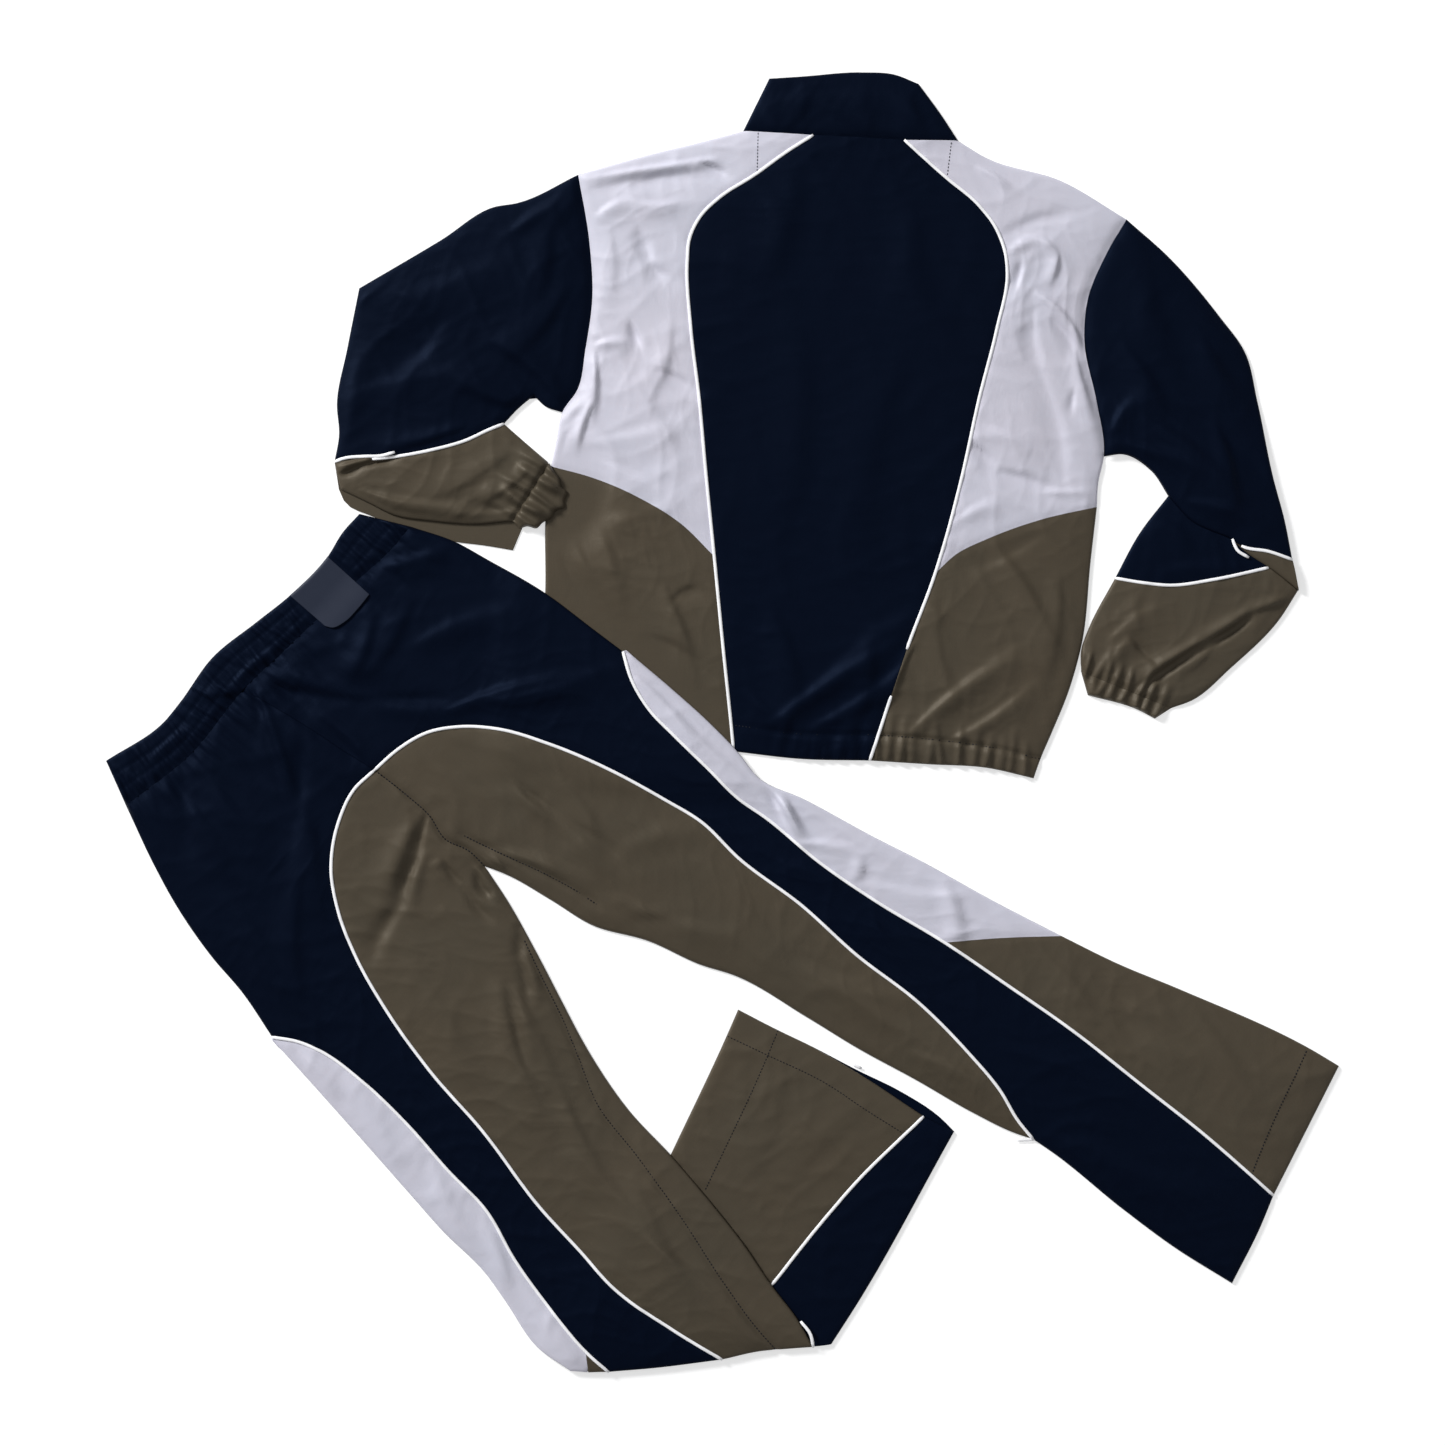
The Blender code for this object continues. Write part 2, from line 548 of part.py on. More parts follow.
def build_jacket():
    """The body, its collar and what lies under them."""
    back = (neck_back, hem_back, run(*piping_left), run(*piping_right))
    panel("jacket_back", NAVY, back, jacket_back, refine=4, refined_rows=3, gathers=8, fade=0.14)
    panel("jacket_yoke_left", LIGHT, (run(shoulder_left[::-1], neck_left), cross_left,
                                      run(armhole_left, upper_side_left), piping_left[0]), jacket_back)
    panel("jacket_yoke_right", LIGHT, (run(neck_right, shoulder_right), cross_right, piping_right[0],
                                       run(armhole_right, upper_side_right)), jacket_back)
    panel("jacket_side_left", OLIVE, (cross_left, hem_left, run(side_left, casing_side_left),
                                      run(*piping_left[1:])), jacket_back, 4, 2, 8, 0.3, unpressed)
    panel("jacket_side_right", OLIVE, (cross_right, hem_right, run(*piping_right[1:]),
                                       run(side_right, casing_side_right)), jacket_back, 4, 2, 8, 0.3)
    base = run(neck_left, neck_back, neck_right)
    panel("jacket_collar", NAVY, (collar_top, base, collar_left, collar_right), collar_height)
    under("jacket_collar_front", NAVY, (collar_top, base, collar_left, collar_right))
    strip("jacket_piping_left", WHITE, run(*piping_left[:2]), jacket_hem_height)
    strip("jacket_piping_right", WHITE, run(*piping_right), jacket_hem_height)


def jacket_hem_height(place):
    """Stand over the gathers where the piping crosses the hem's casing."""
    down, _ = on_jacket(place)
    return jacket_back(place) + GATHER_HIGH * 0.4 * eased((down - 520 * MM) / (60 * MM))


ZIP_WIDE = 8.0
ZIP_SLIDER = 16.0


def build_fronts():
    """The two fronts and the zip between them, hidden under the back."""
    left_edge = seam(jacket, ((0, -ZIP_WIDE / 2), (620, -ZIP_WIDE / 2)), (15,))
    right_edge = seam(jacket, ((0, ZIP_WIDE / 2), (620, ZIP_WIDE / 2)), (15,))
    slider_edge = straight(jacket((ZIP_SLIDER, -ZIP_WIDE / 2)), jacket((ZIP_SLIDER, ZIP_WIDE / 2)), 1)
    hem_half_left = run(hem_left, straight(hem_left[-1], left_edge[-1], 4))
    hem_half_right = run(straight(right_edge[-1], hem_right[0], 4), hem_right)
    neck_half = straight(neck_left[-1], left_edge[0], 4)
    neck_other = straight(right_edge[0], neck_right[0], 4)
    under("jacket_front_left", NAVY, (run(shoulder_left[::-1], neck_left, neck_half), hem_half_left,
                                      run(armhole_left, upper_side_left, side_left, casing_side_left), left_edge))
    under("jacket_front_right", NAVY, (run(neck_other, neck_right, shoulder_right), hem_half_right, right_edge,
                                       run(armhole_right, upper_side_right, side_right, casing_side_right)))
    zip_left = straight(slider_edge[0], left_edge[-1], 2)
    zip_right = straight(slider_edge[1], right_edge[-1], 2)
    under("jacket_zip", NAVY, (slider_edge, [zip_left[-1], zip_right[-1]], zip_left, zip_right))
    under("jacket_zip_slider", SLATE, ([left_edge[0], right_edge[0]], slider_edge,
                                       [left_edge[0], slider_edge[0]], [right_edge[0], slider_edge[1]]))


def build_sleeves():
    """The left sleeve bends at its piping; the right one folds over its own forearm."""
    lower_edge = run(arm_left_pit, arm_left_piping)
    arm = (arm_left_top, lower_edge, armhole_left, arm_left_end)
    panel("sleeve_left_upper", NAVY, arm, arm_left)
    under("sleeve_left_upper_under", NAVY, arm)
    panel("sleeve_left_lower", OLIVE, (arm_left_piping[::-1], forearm_left_low, forearm_left_tip,
                                       forearm_left_in), arm_left)
    under_low = seam(jacket, FOREARM_LEFT_UNDER, (5,))
    under_in = run(seam(jacket, FOREARM_LEFT_IN, (2,)), straight(jacket((353, -277)), under_low[-1], 2))
    under_tip = straight(arm_left_piping[-1], under_low[0], 4)
    under("sleeve_left_lower_under", OLIVE, (arm_left_piping[::-1], under_low, under_tip, under_in))
    seam_line = straight(cuff_seam_left[0], cuff_seam_left[-1], 6)
    panel("sleeve_left_cuff", OLIVE, (seam_line[::-1], cuff_left_out[::-1],
                                      straight(seam_line[-1], cuff_left_out[-1], 2),
                                      straight(seam_line[0], cuff_left_out[0], 2)), arm_left, 4, 2, 6)
    strip("sleeve_left_piping", WHITE, arm_left_piping, arm_left)

    right_top, right_pit = run(*arm_right_top), run(*arm_right_pit)
    right_end = run(arm_right_piping[::-1], arm_right_end[::-1])
    panel("sleeve_right_upper", NAVY, (right_top, right_pit, armhole_right, right_end), arm_right)
    fold_line = straight(arm_right_top[0][-1], arm_right_pit[0][-1], 8)
    under("sleeve_right_upper_under", NAVY, (arm_right_top[0], arm_right_pit[0], armhole_right, fold_line))
    point, tip = arm_right_piping[0], arm_right_piping[-1]
    turn_out = straight(tip, turn_right[-1][-1], 2)
    panel("sleeve_right_turn", OLIVE, (arm_right_piping, run(*turn_right), [point] * 3, turn_out), arm_right)
    heap("sleeve_right_fold", NAVY, (run(arm_right_top[1], [tip, turn_out[-1]]), evenly(arm_right_pit[1], 4),
                                     fold_line, run(run(*turn_right)[::-1], arm_right_end[::-1])), arm_right)
    strip("sleeve_right_piping_upper", WHITE, arm_right_piping, arm_right)
    middle_top = run(arm_right_end, turn_right[0])
    panel("sleeve_right_middle", NAVY, (middle_top, forearm_right_piping, middle_right_in,
                                        [middle_top[-1]] * 4), forearm_right)
    lower_top = run(forearm_right_piping, turn_right[1])
    panel("sleeve_right_lower", OLIVE, (lower_top, cuff_seam_right, lower_right_in, forearm_right_out),
          forearm_right)
    cuff_in = straight(cuff_seam_right[0], cuff_right_out[0], 2)
    cuff_out = straight(cuff_seam_right[-1], cuff_right_out[-1], 5)
    panel("sleeve_right_cuff", OLIVE, (cuff_seam_right, cuff_right_out, cuff_in,
                                       [cuff_out[0], cuff_out[2].lerp(cuff_out[3], 0.5), cuff_out[-1]]),
          forearm_right, 4, 2, 8)
    under("sleeve_right_lower_under", OLIVE, (run(middle_top, turn_right[1]), cuff_right_out,
                                              run(middle_right_in, lower_right_in, cuff_in),
                                              run(forearm_right_out, cuff_out)))
    shown = forearm_right_piping[:-1] + [at_part(forearm_right_piping, 0.92)]
    strip("sleeve_right_piping_lower", WHITE, shown, forearm_right)


# The blank patch on the waistband, rows (down, across) of the trousers in millimetres
PATCH_TOP = ((15, 76), (15, 128))
PATCH_LOW = ((60, 77), (67, 81), (72, 92), (73, 110), (72, 127))
PATCH_EASE = 9 * MM


def patch_apart(place):
    """Measure how far a place is outside the patch."""
    down, across = on_trousers(place)
    return math.hypot(max(0.0, down - 76 * MM), max(0.0, 74 * MM - across, across - 130 * MM))


def waist_height(place):
    return LAYER


def loose_waist(place):
    """Say how free the elastic is to gather, 0 under the patch."""
    return eased(patch_apart(place) / PATCH_EASE)


def patch_height(place):
    down, _ = on_trousers(place)
    return WALL + PIPING_CLEAR + (LAYER if down < 50 * MM else trousers_back(place))


def build_trousers():
    """The back of the trousers, and their plain front under it."""
    waist = run(waist_left, waist_right)
    ends = (straight(waist_top[0], waist[0], 3), straight(waist_top[-1], waist[-1], 3))
    panel("trousers_waistband", NAVY, (waist_top, waist, *ends), waist_height, 6, 3, 24, 0.0, loose_waist)
    under("trousers_waistband_front", NAVY, (waist_top, waist, *ends))
    patch_low = seam(trousers, PATCH_LOW, (4,))
    patch_top = seam(trousers, PATCH_TOP, (4,))
    panel("trousers_patch", SLATE, (patch_top, patch_low, straight(patch_top[0], patch_low[0], 4),
                                    straight(patch_top[-1], patch_low[-1], 4)), patch_height)

    inner = run(*inner_left)
    panel("trousers_back_left", NAVY, (waist_left, fold_left, run(outer_left, outer_piping_left, toe_left),
                                       run(centre_back, arch_left)), trousers_back)
    panel("trousers_back_right", NAVY, (waist_right, hem_stripe, run(centre_back, arch_right, inner_right_low),
                                        run(outer_right, *outer_piping_right)), trousers_back)
    panel("trousers_inner_left", OLIVE, (crotch, fold_inner, arch_left, inner), trousers_back)
    panel("trousers_inner_right", OLIVE, (crotch[::-1], [arch_right[-1]] * 5, inner_right, arch_right),
          trousers_back)
    corner, split = outer_left_low[-1], trousers((754, -303))
    panel("trousers_outer_left", LIGHT, (straight(outer_left_low[0], outer_piping_left[0], 2),
                                         [corner, split, toe_left[0]], outer_left_low, outer_piping_left),
          trousers_back)
    panel("trousers_shin_left", OLIVE, ([toe_left[0]] * 2, [split, toe_left[1]], [toe_left[0], split],
                                        toe_left), trousers_back)
    panel("trousers_outer_right", LIGHT, (straight(outer_piping_right[0][0], outer_right_low[0], 5), cross_leg,
                                          outer_piping_right[0], outer_right_low), trousers_back)
    panel("trousers_shin_right", OLIVE, (cross_leg, hem_shin, outer_piping_right[1], shin_right), trousers_back)
    lines = {"arch_left": arch_left[1:], "arch_right": arch_right[1:],
             "outer_left": run(outer_piping_left, toe_left), "outer_right": run(*outer_piping_right)}
    for place, line in lines.items():
        strip("trousers_piping_" + place, WHITE, line, trousers_back)


def build_trousers_under():
    """The front of the trousers, and the left leg's end turned back under it."""
    outer_a, outer_b = seam(trousers, OUTER_LEFT_LOW, (10, 7), cuts=(4,))
    cut_line = straight(outer_a[-1], inner_left[0][-1], 8)
    under("trousers_front_left", NAVY, (waist_left, cut_line, run(outer_left, outer_a),
                                        run(centre_back, crotch, inner_left[0])))
    heap("trousers_end_fold", OLIVE, (cut_line, run(evenly(run([outer_b[-1], fold_left[0]], fold_left), 6),
                                                    evenly(fold_inner, 2)), outer_b, run(*inner_left[1:])),
         trousers_back)
    outer_c = seam(trousers, OUTER_RIGHT_LOW, (15,))
    hem = seam(trousers, HEM_STRIPE + HEM_SHIN[1:], (8,))
    panel("trousers_front_right", NAVY, (waist_right, hem, run(centre_back, crotch, inner_right, inner_right_low),
                                         run(outer_right, outer_c, shin_right)), trousers_front)
    toe = [inner_left[-1][-1], end_right[-1]]
    end_tip = straight(end_piping[0], end_right[0], 3)
    panel("trousers_end_inner", OLIVE, (end_top, inner_left[2], end_left, end_piping), end_height)
    panel("trousers_end_stripe", NAVY, (end_tip, run(inner_left[3], toe), end_piping, end_right), end_height)
    under("trousers_end_under", NAVY, (run(end_top, end_tip), run(inner_left[2], inner_left[3], toe),
                                       end_left, end_right))
    shown = end_piping[:-1] + [at_part(end_piping, 0.97)]
    strip("trousers_piping_end", WHITE, shown, end_height)


# Build

for old in list(bpy.data.objects):
    bpy.data.objects.remove(old, do_unlink=True)
bpy.context.scene.collection.children.link(group)
build_jacket()
build_fronts()
build_sleeves()
build_trousers()
build_trousers_under()
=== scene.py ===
import math

import bmesh
import bpy
import numpy as np
from mathutils import Matrix, Vector


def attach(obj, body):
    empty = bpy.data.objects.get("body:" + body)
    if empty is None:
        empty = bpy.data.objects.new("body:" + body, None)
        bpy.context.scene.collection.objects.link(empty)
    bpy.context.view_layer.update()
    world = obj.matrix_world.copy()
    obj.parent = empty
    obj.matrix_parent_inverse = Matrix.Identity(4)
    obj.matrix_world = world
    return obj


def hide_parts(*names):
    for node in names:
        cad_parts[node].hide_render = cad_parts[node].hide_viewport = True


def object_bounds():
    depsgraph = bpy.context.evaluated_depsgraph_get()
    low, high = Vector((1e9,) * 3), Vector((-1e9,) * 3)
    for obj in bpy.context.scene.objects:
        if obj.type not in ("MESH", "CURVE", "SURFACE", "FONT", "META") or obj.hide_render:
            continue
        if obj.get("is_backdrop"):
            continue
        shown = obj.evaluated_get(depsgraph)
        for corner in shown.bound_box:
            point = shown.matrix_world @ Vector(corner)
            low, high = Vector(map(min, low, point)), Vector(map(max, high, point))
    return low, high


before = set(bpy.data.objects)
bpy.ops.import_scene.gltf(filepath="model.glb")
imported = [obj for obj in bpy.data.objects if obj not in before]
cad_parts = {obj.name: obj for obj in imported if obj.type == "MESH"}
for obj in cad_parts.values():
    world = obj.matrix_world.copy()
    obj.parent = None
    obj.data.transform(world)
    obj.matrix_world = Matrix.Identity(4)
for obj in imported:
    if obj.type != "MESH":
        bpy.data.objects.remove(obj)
cad_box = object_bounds()

# The table, the light and the camera
# A plain white table top under the set, one large soft light from the upper left with two weaker ones,
# and a camera straight above that takes in 1.445 m each way at the cloth.
MM = 0.001
VIEW_WIDE = 1.445
CAMERA_HIGH = 3.4
TABLE_SIZE = 6.0
TABLE_DROP = 0.4 * MM
TABLE_SHADE, TABLE_ROUGH = (0.66, 0.66, 0.66, 1.0), 0.9
TABLE_GLOW = 0.52                # keeps the table as white as the photo's
ROOM_SHADE, ROOM_GLOW = (0.97, 0.98, 1.0, 1.0), 0.24

table = bmesh.new()
bmesh.ops.create_grid(table, x_segments=4, y_segments=4, size=TABLE_SIZE)
table_mesh = bpy.data.meshes.new("table_top")
table.to_mesh(table_mesh)
table.free()
table_top = bpy.data.objects.new("table_top", table_mesh)
table_top.location.z = -TABLE_DROP
bpy.context.scene.collection.objects.link(table_top)
table_top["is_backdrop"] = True

white = bpy.data.materials.new("table_white")
white.use_nodes = True
white_shader = white.node_tree.nodes["Principled BSDF"]
white_shader.inputs["Base Color"].default_value = TABLE_SHADE
white_shader.inputs["Roughness"].default_value = TABLE_ROUGH
white_shader.inputs["Emission Color"].default_value = (1.0, 1.0, 1.0, 1.0)
white_shader.inputs["Emission Strength"].default_value = TABLE_GLOW
table_mesh.materials.append(white)

for name, place, size, power in (
    ("key_light", (-6.0, 5.2, 4.3), 2.2, 1000.0),
    ("fill_light", (2.4, -1.0, 2.6), 2.4, 13.0),
    ("top_light", (0.2, 0.3, 4.4), 3.0, 14.0),
):
    lamp = bpy.data.lights.new(name, "AREA")
    lamp.size = size
    lamp.energy = power
    lit = bpy.data.objects.new(name, lamp)
    lit.location = place
    lit.rotation_mode = "QUATERNION"
    lit.rotation_quaternion = Vector(place).to_track_quat("Z", "Y")
    bpy.context.scene.collection.objects.link(lit)

room = bpy.data.worlds.new("soft_room")
room.use_nodes = True
room.node_tree.nodes["Background"].inputs["Color"].default_value = ROOM_SHADE
room.node_tree.nodes["Background"].inputs["Strength"].default_value = ROOM_GLOW
bpy.context.scene.world = room
bpy.context.scene.view_settings.view_transform = "Standard"

eye = bpy.data.cameras.new("camera")
eye.lens = eye.sensor_width * CAMERA_HIGH / VIEW_WIDE
camera = bpy.data.objects.new("camera", eye)
camera.location = (0.0, 0.0, CAMERA_HIGH)
bpy.context.scene.collection.objects.link(camera)
bpy.context.scene.camera = camera

# The jacket's back
# Five panels of thin woven polyester, a navy centre with a light yoke and an olive side at each side,
# piped at their seams and turned up into an elastic casing at the hem. They lie on the two fronts.
JACKET = ((0.1365, 0.5838), -95.5)       # where the neck lies, and the way down the back, in degrees
TROUSERS = ((-0.4915, 0.0808), -42.0)    # where the waist lies, and the way down the legs
ROW_PARTS = 24                   # points of a seam from one of its rows to the next
THREAD = 0.6 * MM                # thickness of the cloth
LIE = 1.25 * MM                  # top of the upper layer at an edge, where it rests on the under layer
UNDER_TOP = 0.62 * MM            # top of an under layer that rests on the table
LAYER = 2.2 * MM                 # how far the upper layer stands over its edge
ROLL = 3.0 * MM                  # how far in a turned edge rounds down
PUFF, PUFF_REACH = 5.0 * MM, 70 * MM     # air under the upper layer
STEP, FINE_STEP, CLOSE_STEP = 3.1 * MM, 2.4 * MM, 1.2 * MM       # between the rows of a piece's mesh
OPEN_EDGE = (0.0, 0.6, 1.6, 3.0)         # millimetres from an edge to a piece's first rows
WELD = 0.02 * MM                 # points closer than this are one
CREASE_DEPTH = 1.7               # all creases are this much deeper than their rows say
CREASE_NARROW, CREASE_WIDENS = 0.55, 0.6         # parts of its width that a crease starts with and gains
CREASE_STEEP, CREASE_SLACK = 0.6, 1.4    # how wide its steep and its slack side are
CREASE_END = 0.3                 # the part of its height that it has at its ends
CREASE_FADE, WRINKLE_FADE, EDGE_FADE = 14 * MM, 10 * MM, 2 * MM  # from an edge to the full height
WRINKLE_HIGH, WRINKLE_SPAN = 3.0, 56     # millimetres: the height and the spacing of the small wrinkles
WRINKLE_SIZES, WRINKLE_TURNS = (1.0, 0.6, 0.35), 4
WRINKLE_APART, WRINKLE_BEND = (0.8, 1.3), 0.9
PUCKER_WIDE, PUCKER_LEAN = (0.20, 0.34), 0.22    # uneven puckers, as parts of their own sizes
PUCKER_FAR, PUCKER_TALL, PUCKER_APART = (0.4, 1.0), (0.55, 1.0), (0.7, 1.3)
PUCKER_FIRST, PUCKER_SPREADS = 0.4, 6
SEAM_DEEP, SEAM_WIDE = 1.4, 5.0          # millimetres that a seam sinks, and how far beside it
PIPED_SINK, CASING_SINK = (0.7, 4.0), (2.2, 2.4)
HEM_GATHERS = (13.5, 4.2, 46, 5, 16)     # spacing, height, reach, seed and full band of the gathers


def ways(garment):
    """Give where a garment starts, and the ways down and across it."""
    start, turned = garment
    turn = math.radians(turned)
    down = np.array((math.cos(turn), math.sin(turn)))
    return np.array(start), down, np.array((-down[1], down[0]))


def laid(garment, rows):
    """Place rows of a garment on the table, in metres."""
    start, down, across = ways(garment)
    rows = np.asarray(rows, float) * MM
    return start + rows[:, :1] * down + rows[:, 1:] * across


def rows_of(garment, place):
    """Give the rows, in millimetres, of places on the table."""
    start, down, across = ways(garment)
    apart = (place - start) / MM
    return apart @ down, apart @ across


def seam(garment, rows, *splits):
    """Draw a smooth seam through rows, and part it at the row numbers in splits."""
    points = laid(garment, rows)
    knots = np.linalg.norm(np.diff(points, axis=0), axis=1)[:, None]
    secants = np.diff(points, axis=0) / knots
    inner = (secants[:-1] * knots[1:] + secants[1:] * knots[:-1]) / (knots[:-1] + knots[1:])
    slopes = np.vstack((secants[:1], inner, secants[-1:]))
    t = np.arange(ROW_PARTS)[:, None] / ROW_PARTS
    rise = 3 * t * t - 2 * t ** 3
    drawn = [points[i] * (1 - rise) + points[i + 1] * rise
             + slopes[i] * knots[i] * (t - 2 * t * t + t ** 3) + slopes[i + 1] * knots[i] * (t ** 3 - t * t)
             for i in range(len(points) - 1)]
    line = np.vstack(drawn + [points[-1:]])
    ends = (0, *splits, len(points) - 1)
    parts = [line[first * ROW_PARTS:last * ROW_PARTS + 1] for first, last in zip(ends, ends[1:])]
    return parts if splits else line


def run(*lines):
    """Join lines that follow each other."""
    return np.vstack([lines[0]] + [line[1:] for line in lines[1:]])


def lengths(line):
    return np.concatenate(((0.0,), np.cumsum(np.linalg.norm(np.diff(line, axis=0), axis=1))))


def at(line, parts):
    """Find the places at parts, 0 to 1, of a line's length."""
    measured = lengths(line)
    if measured[-1] == 0.0:
        return np.repeat(line[:1], len(parts), axis=0)
    wanted = np.asarray(parts) * measured[-1]
    return np.column_stack([np.interp(wanted, measured, line[:, k]) for k in (0, 1)])


def beside(place, line, thin=3):
    """Measure how far places are from a line, and how far along it."""
    line = np.vstack((line[:-1:thin], line[-1:]))
    measured = lengths(line)
    nearest = np.full(len(place), 1e9)
    along = np.zeros(len(place))
    for a, b, so_far in zip(line, line[1:], measured):
        way = b - a
        size = way @ way
        if size == 0.0:
            continue
        part = np.clip((place - a) @ way / size, 0.0, 1.0)
        apart = np.linalg.norm(place - a - part[:, None] * way, axis=1)
        closer = apart < nearest
        nearest[closer] = apart[closer]
        along[closer] = so_far + part[closer] * math.sqrt(size)
    return nearest, along


def near(place, lines):
    """Measure how far places are from the nearest of several lines."""
    return np.min([beside(place, line)[0] for line in lines], axis=0)


def eased(value):
    value = np.clip(value, 0.0, 1.0)
    return value * value * (3 - 2 * value)


def creased(place, garment, creases):
    """Add soft ridges, or troughs where high is below 0: rows of from, to, width, high, bend."""
    height = np.zeros(len(place))
    for *ends, width, high, bend in creases:
        a, b = laid(garment, np.reshape(ends, (2, 2)))
        way = b - a
        size = math.sqrt(way @ way)
        part = (place - a) @ way / size ** 2
        side = (place - a) @ np.array((-way[1], way[0])) / size
        inside = np.clip(part, 0.0, 1.0)
        side = side - bend * MM * np.sin(math.pi * inside)
        beyond = (part - inside) * size
        broad = width * MM * (CREASE_NARROW + CREASE_WIDENS * inside)
        sharp = np.where(side > 0, CREASE_STEEP, CREASE_SLACK)
        off = (side / (broad * sharp)) ** 2 + (beyond / broad) ** 2
        full = CREASE_END + (1 - CREASE_END) * np.sin(math.pi * inside) ** 0.8
        height += CREASE_DEPTH * high * MM * np.exp(-off) * full
    return height


def crumpled(place, seed):
    """Add the small bent wrinkles of a thin, packed cloth, in patches."""
    draw = np.random.default_rng(seed)
    height = np.zeros(len(place))
    for size in WRINKLE_SIZES:
        for turn in draw.uniform(0.0, math.pi, WRINKLE_TURNS):
            spacing = size * WRINKLE_SPAN * MM * draw.uniform(*WRINKLE_APART)
            way = np.array((math.cos(turn), math.sin(turn))) * math.pi / spacing
            other = np.array((-way[1], way[0]))
            late = draw.uniform(0.0, 2 * math.pi, 3)
            bent = place @ way + WRINKLE_BEND * np.sin(place @ other * 0.6 + late[0]) + late[1]
            patch = eased(0.35 + 0.8 * np.sin(place @ other * 0.37 + place @ way * 0.23 + late[2]))
            height += patch * (1 - np.abs(np.sin(bent))) ** 3 * size
    return height * WRINKLE_HIGH * MM / WRINKLE_TURNS


def gathered(place, line, spacing, high, reach, seed, band=0.0):
    """Raise an elastic's puckers along a line: uneven ridges, full for a band, that then die away."""
    apart, along = beside(place, line)
    draw = np.random.default_rng(seed)
    height = np.zeros(len(place))
    total = lengths(line)[-1]
    crest = spacing * MM * PUCKER_FIRST
    while crest < total:
        wide = spacing * MM * draw.uniform(*PUCKER_WIDE)
        lean = draw.uniform(-PUCKER_LEAN, PUCKER_LEAN)
        far = reach * MM * draw.uniform(*PUCKER_FAR)
        tall = high * MM * draw.uniform(*PUCKER_TALL)
        fade = 1.0 - eased((apart - band * MM) / far)
        off = (along - crest - lean * apart) / (wide * (1 + PUCKER_SPREADS * apart))
        height += tall * np.exp(-off ** 2) * fade
        crest += spacing * MM * draw.uniform(*PUCKER_APART)
    return height


def rolled(apart):
    """Round an edge down to the surface it lies on."""
    inward = np.clip(apart / ROLL, 0.0, 1.0)
    return LIE + LAYER * np.sqrt(np.clip(1 - (1 - inward) ** 2, 0.0, 1.0))


def sunk(place, lines, deep, wide):
    """Sink the cloth along its seams."""
    apart = near(place, lines)
    return -deep * MM * np.exp(-(apart / (wide * MM)) ** 2)


def draped(place, garment, outer, sewn, creases, seed, free=1.0, puff=PUFF, deep=SEAM_DEEP):
    """Work out how high an upper layer lies between its outer edges and the seams that hold it down."""
    edge = near(place, outer)
    apart = np.minimum(edge, near(place, sewn))
    rise = puff * (1 - np.exp(-2 * apart / PUFF_REACH))
    rise += creased(place, garment, creases) * eased(apart / CREASE_FADE)
    rise += crumpled(place, seed) * eased(edge / WRINKLE_FADE)
    return rolled(edge) + free * rise + sunk(place, sewn, deep, SEAM_WIDE)


def spread(size, step):
    """Part the length of a side for the mesh, with close rows at both of its ends."""
    edge = np.array(OPEN_EDGE) * MM
    if size < 4 * edge[-1]:
        return np.linspace(0.0, 1.0, max(2, round(size / CLOSE_STEP)) + 1)
    middle = np.linspace(edge[-1], size - edge[-1], max(1, round((size - 2 * edge[-1]) / step)) + 1)
    return np.concatenate((edge[:-1], middle, size - edge[-2::-1])) / size


def cut_out(sides, step):
    """Cut a flat grid between a top, a bottom, a left and a right seam; return it with its places."""
    top, bottom, left, right = sides
    across = spread((lengths(top)[-1] + lengths(bottom)[-1]) / 2, step)
    down = spread((lengths(left)[-1] + lengths(right)[-1]) / 2, step)
    bm = bmesh.new()
    bmesh.ops.create_grid(bm, x_segments=len(across) - 1, y_segments=len(down) - 1, size=0.5)
    grid = np.array([vert.co for vert in bm.verts])
    column = np.rint((grid[:, 0] + 0.5) * (len(across) - 1)).astype(int)
    row = np.rint((0.5 - grid[:, 1]) * (len(down) - 1)).astype(int)
    u, v = across[column][:, None], down[row][:, None]
    corners = (top[0] * (1 - u) + top[-1] * u) * (1 - v) + (bottom[0] * (1 - u) + bottom[-1] * u) * v
    place = (at(top, across)[column] * (1 - v) + at(bottom, across)[column] * v
             + at(left, down)[row] * (1 - u) + at(right, down)[row] * u - corners)
    return bm, place


def raised(bm, place, height, garment):
    """Set a cut piece to its heights, mark the run of its threads, and weld a side that is a point."""
    grain = np.column_stack(rows_of(garment, place)) * MM
    threads = bm.loops.layers.uv.new("cloth")
    for vert, (x, y), z, thread in zip(bm.verts, place, height, grain):
        vert.co = (x, y, z)
        for loop in vert.link_loops:
            loop[threads].uv = thread[::-1]
    bmesh.ops.remove_doubles(bm, verts=bm.verts, dist=WELD)
    bm.normal_update()
    if sum(face.normal.z * face.calc_area() for face in bm.faces) < 0:
        bmesh.ops.reverse_faces(bm, faces=bm.faces)
    return grain, sum(abs(face.normal.z) * face.calc_area() for face in bm.faces)


def sewn_in(name, bm, finish, replaced):
    """Put a mesh on the table as a named object of the set."""
    mesh = bpy.data.meshes.new(name)
    bm.to_mesh(mesh)
    bm.free()
    mesh.polygons.foreach_set("use_smooth", np.ones(len(mesh.polygons), bool))
    mesh.materials.append(finish)
    made = bpy.data.objects.new(name, mesh)
    bpy.context.scene.collection.objects.link(made)
    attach(made, "root")
    if replaced:
        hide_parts(*replaced)
    return made


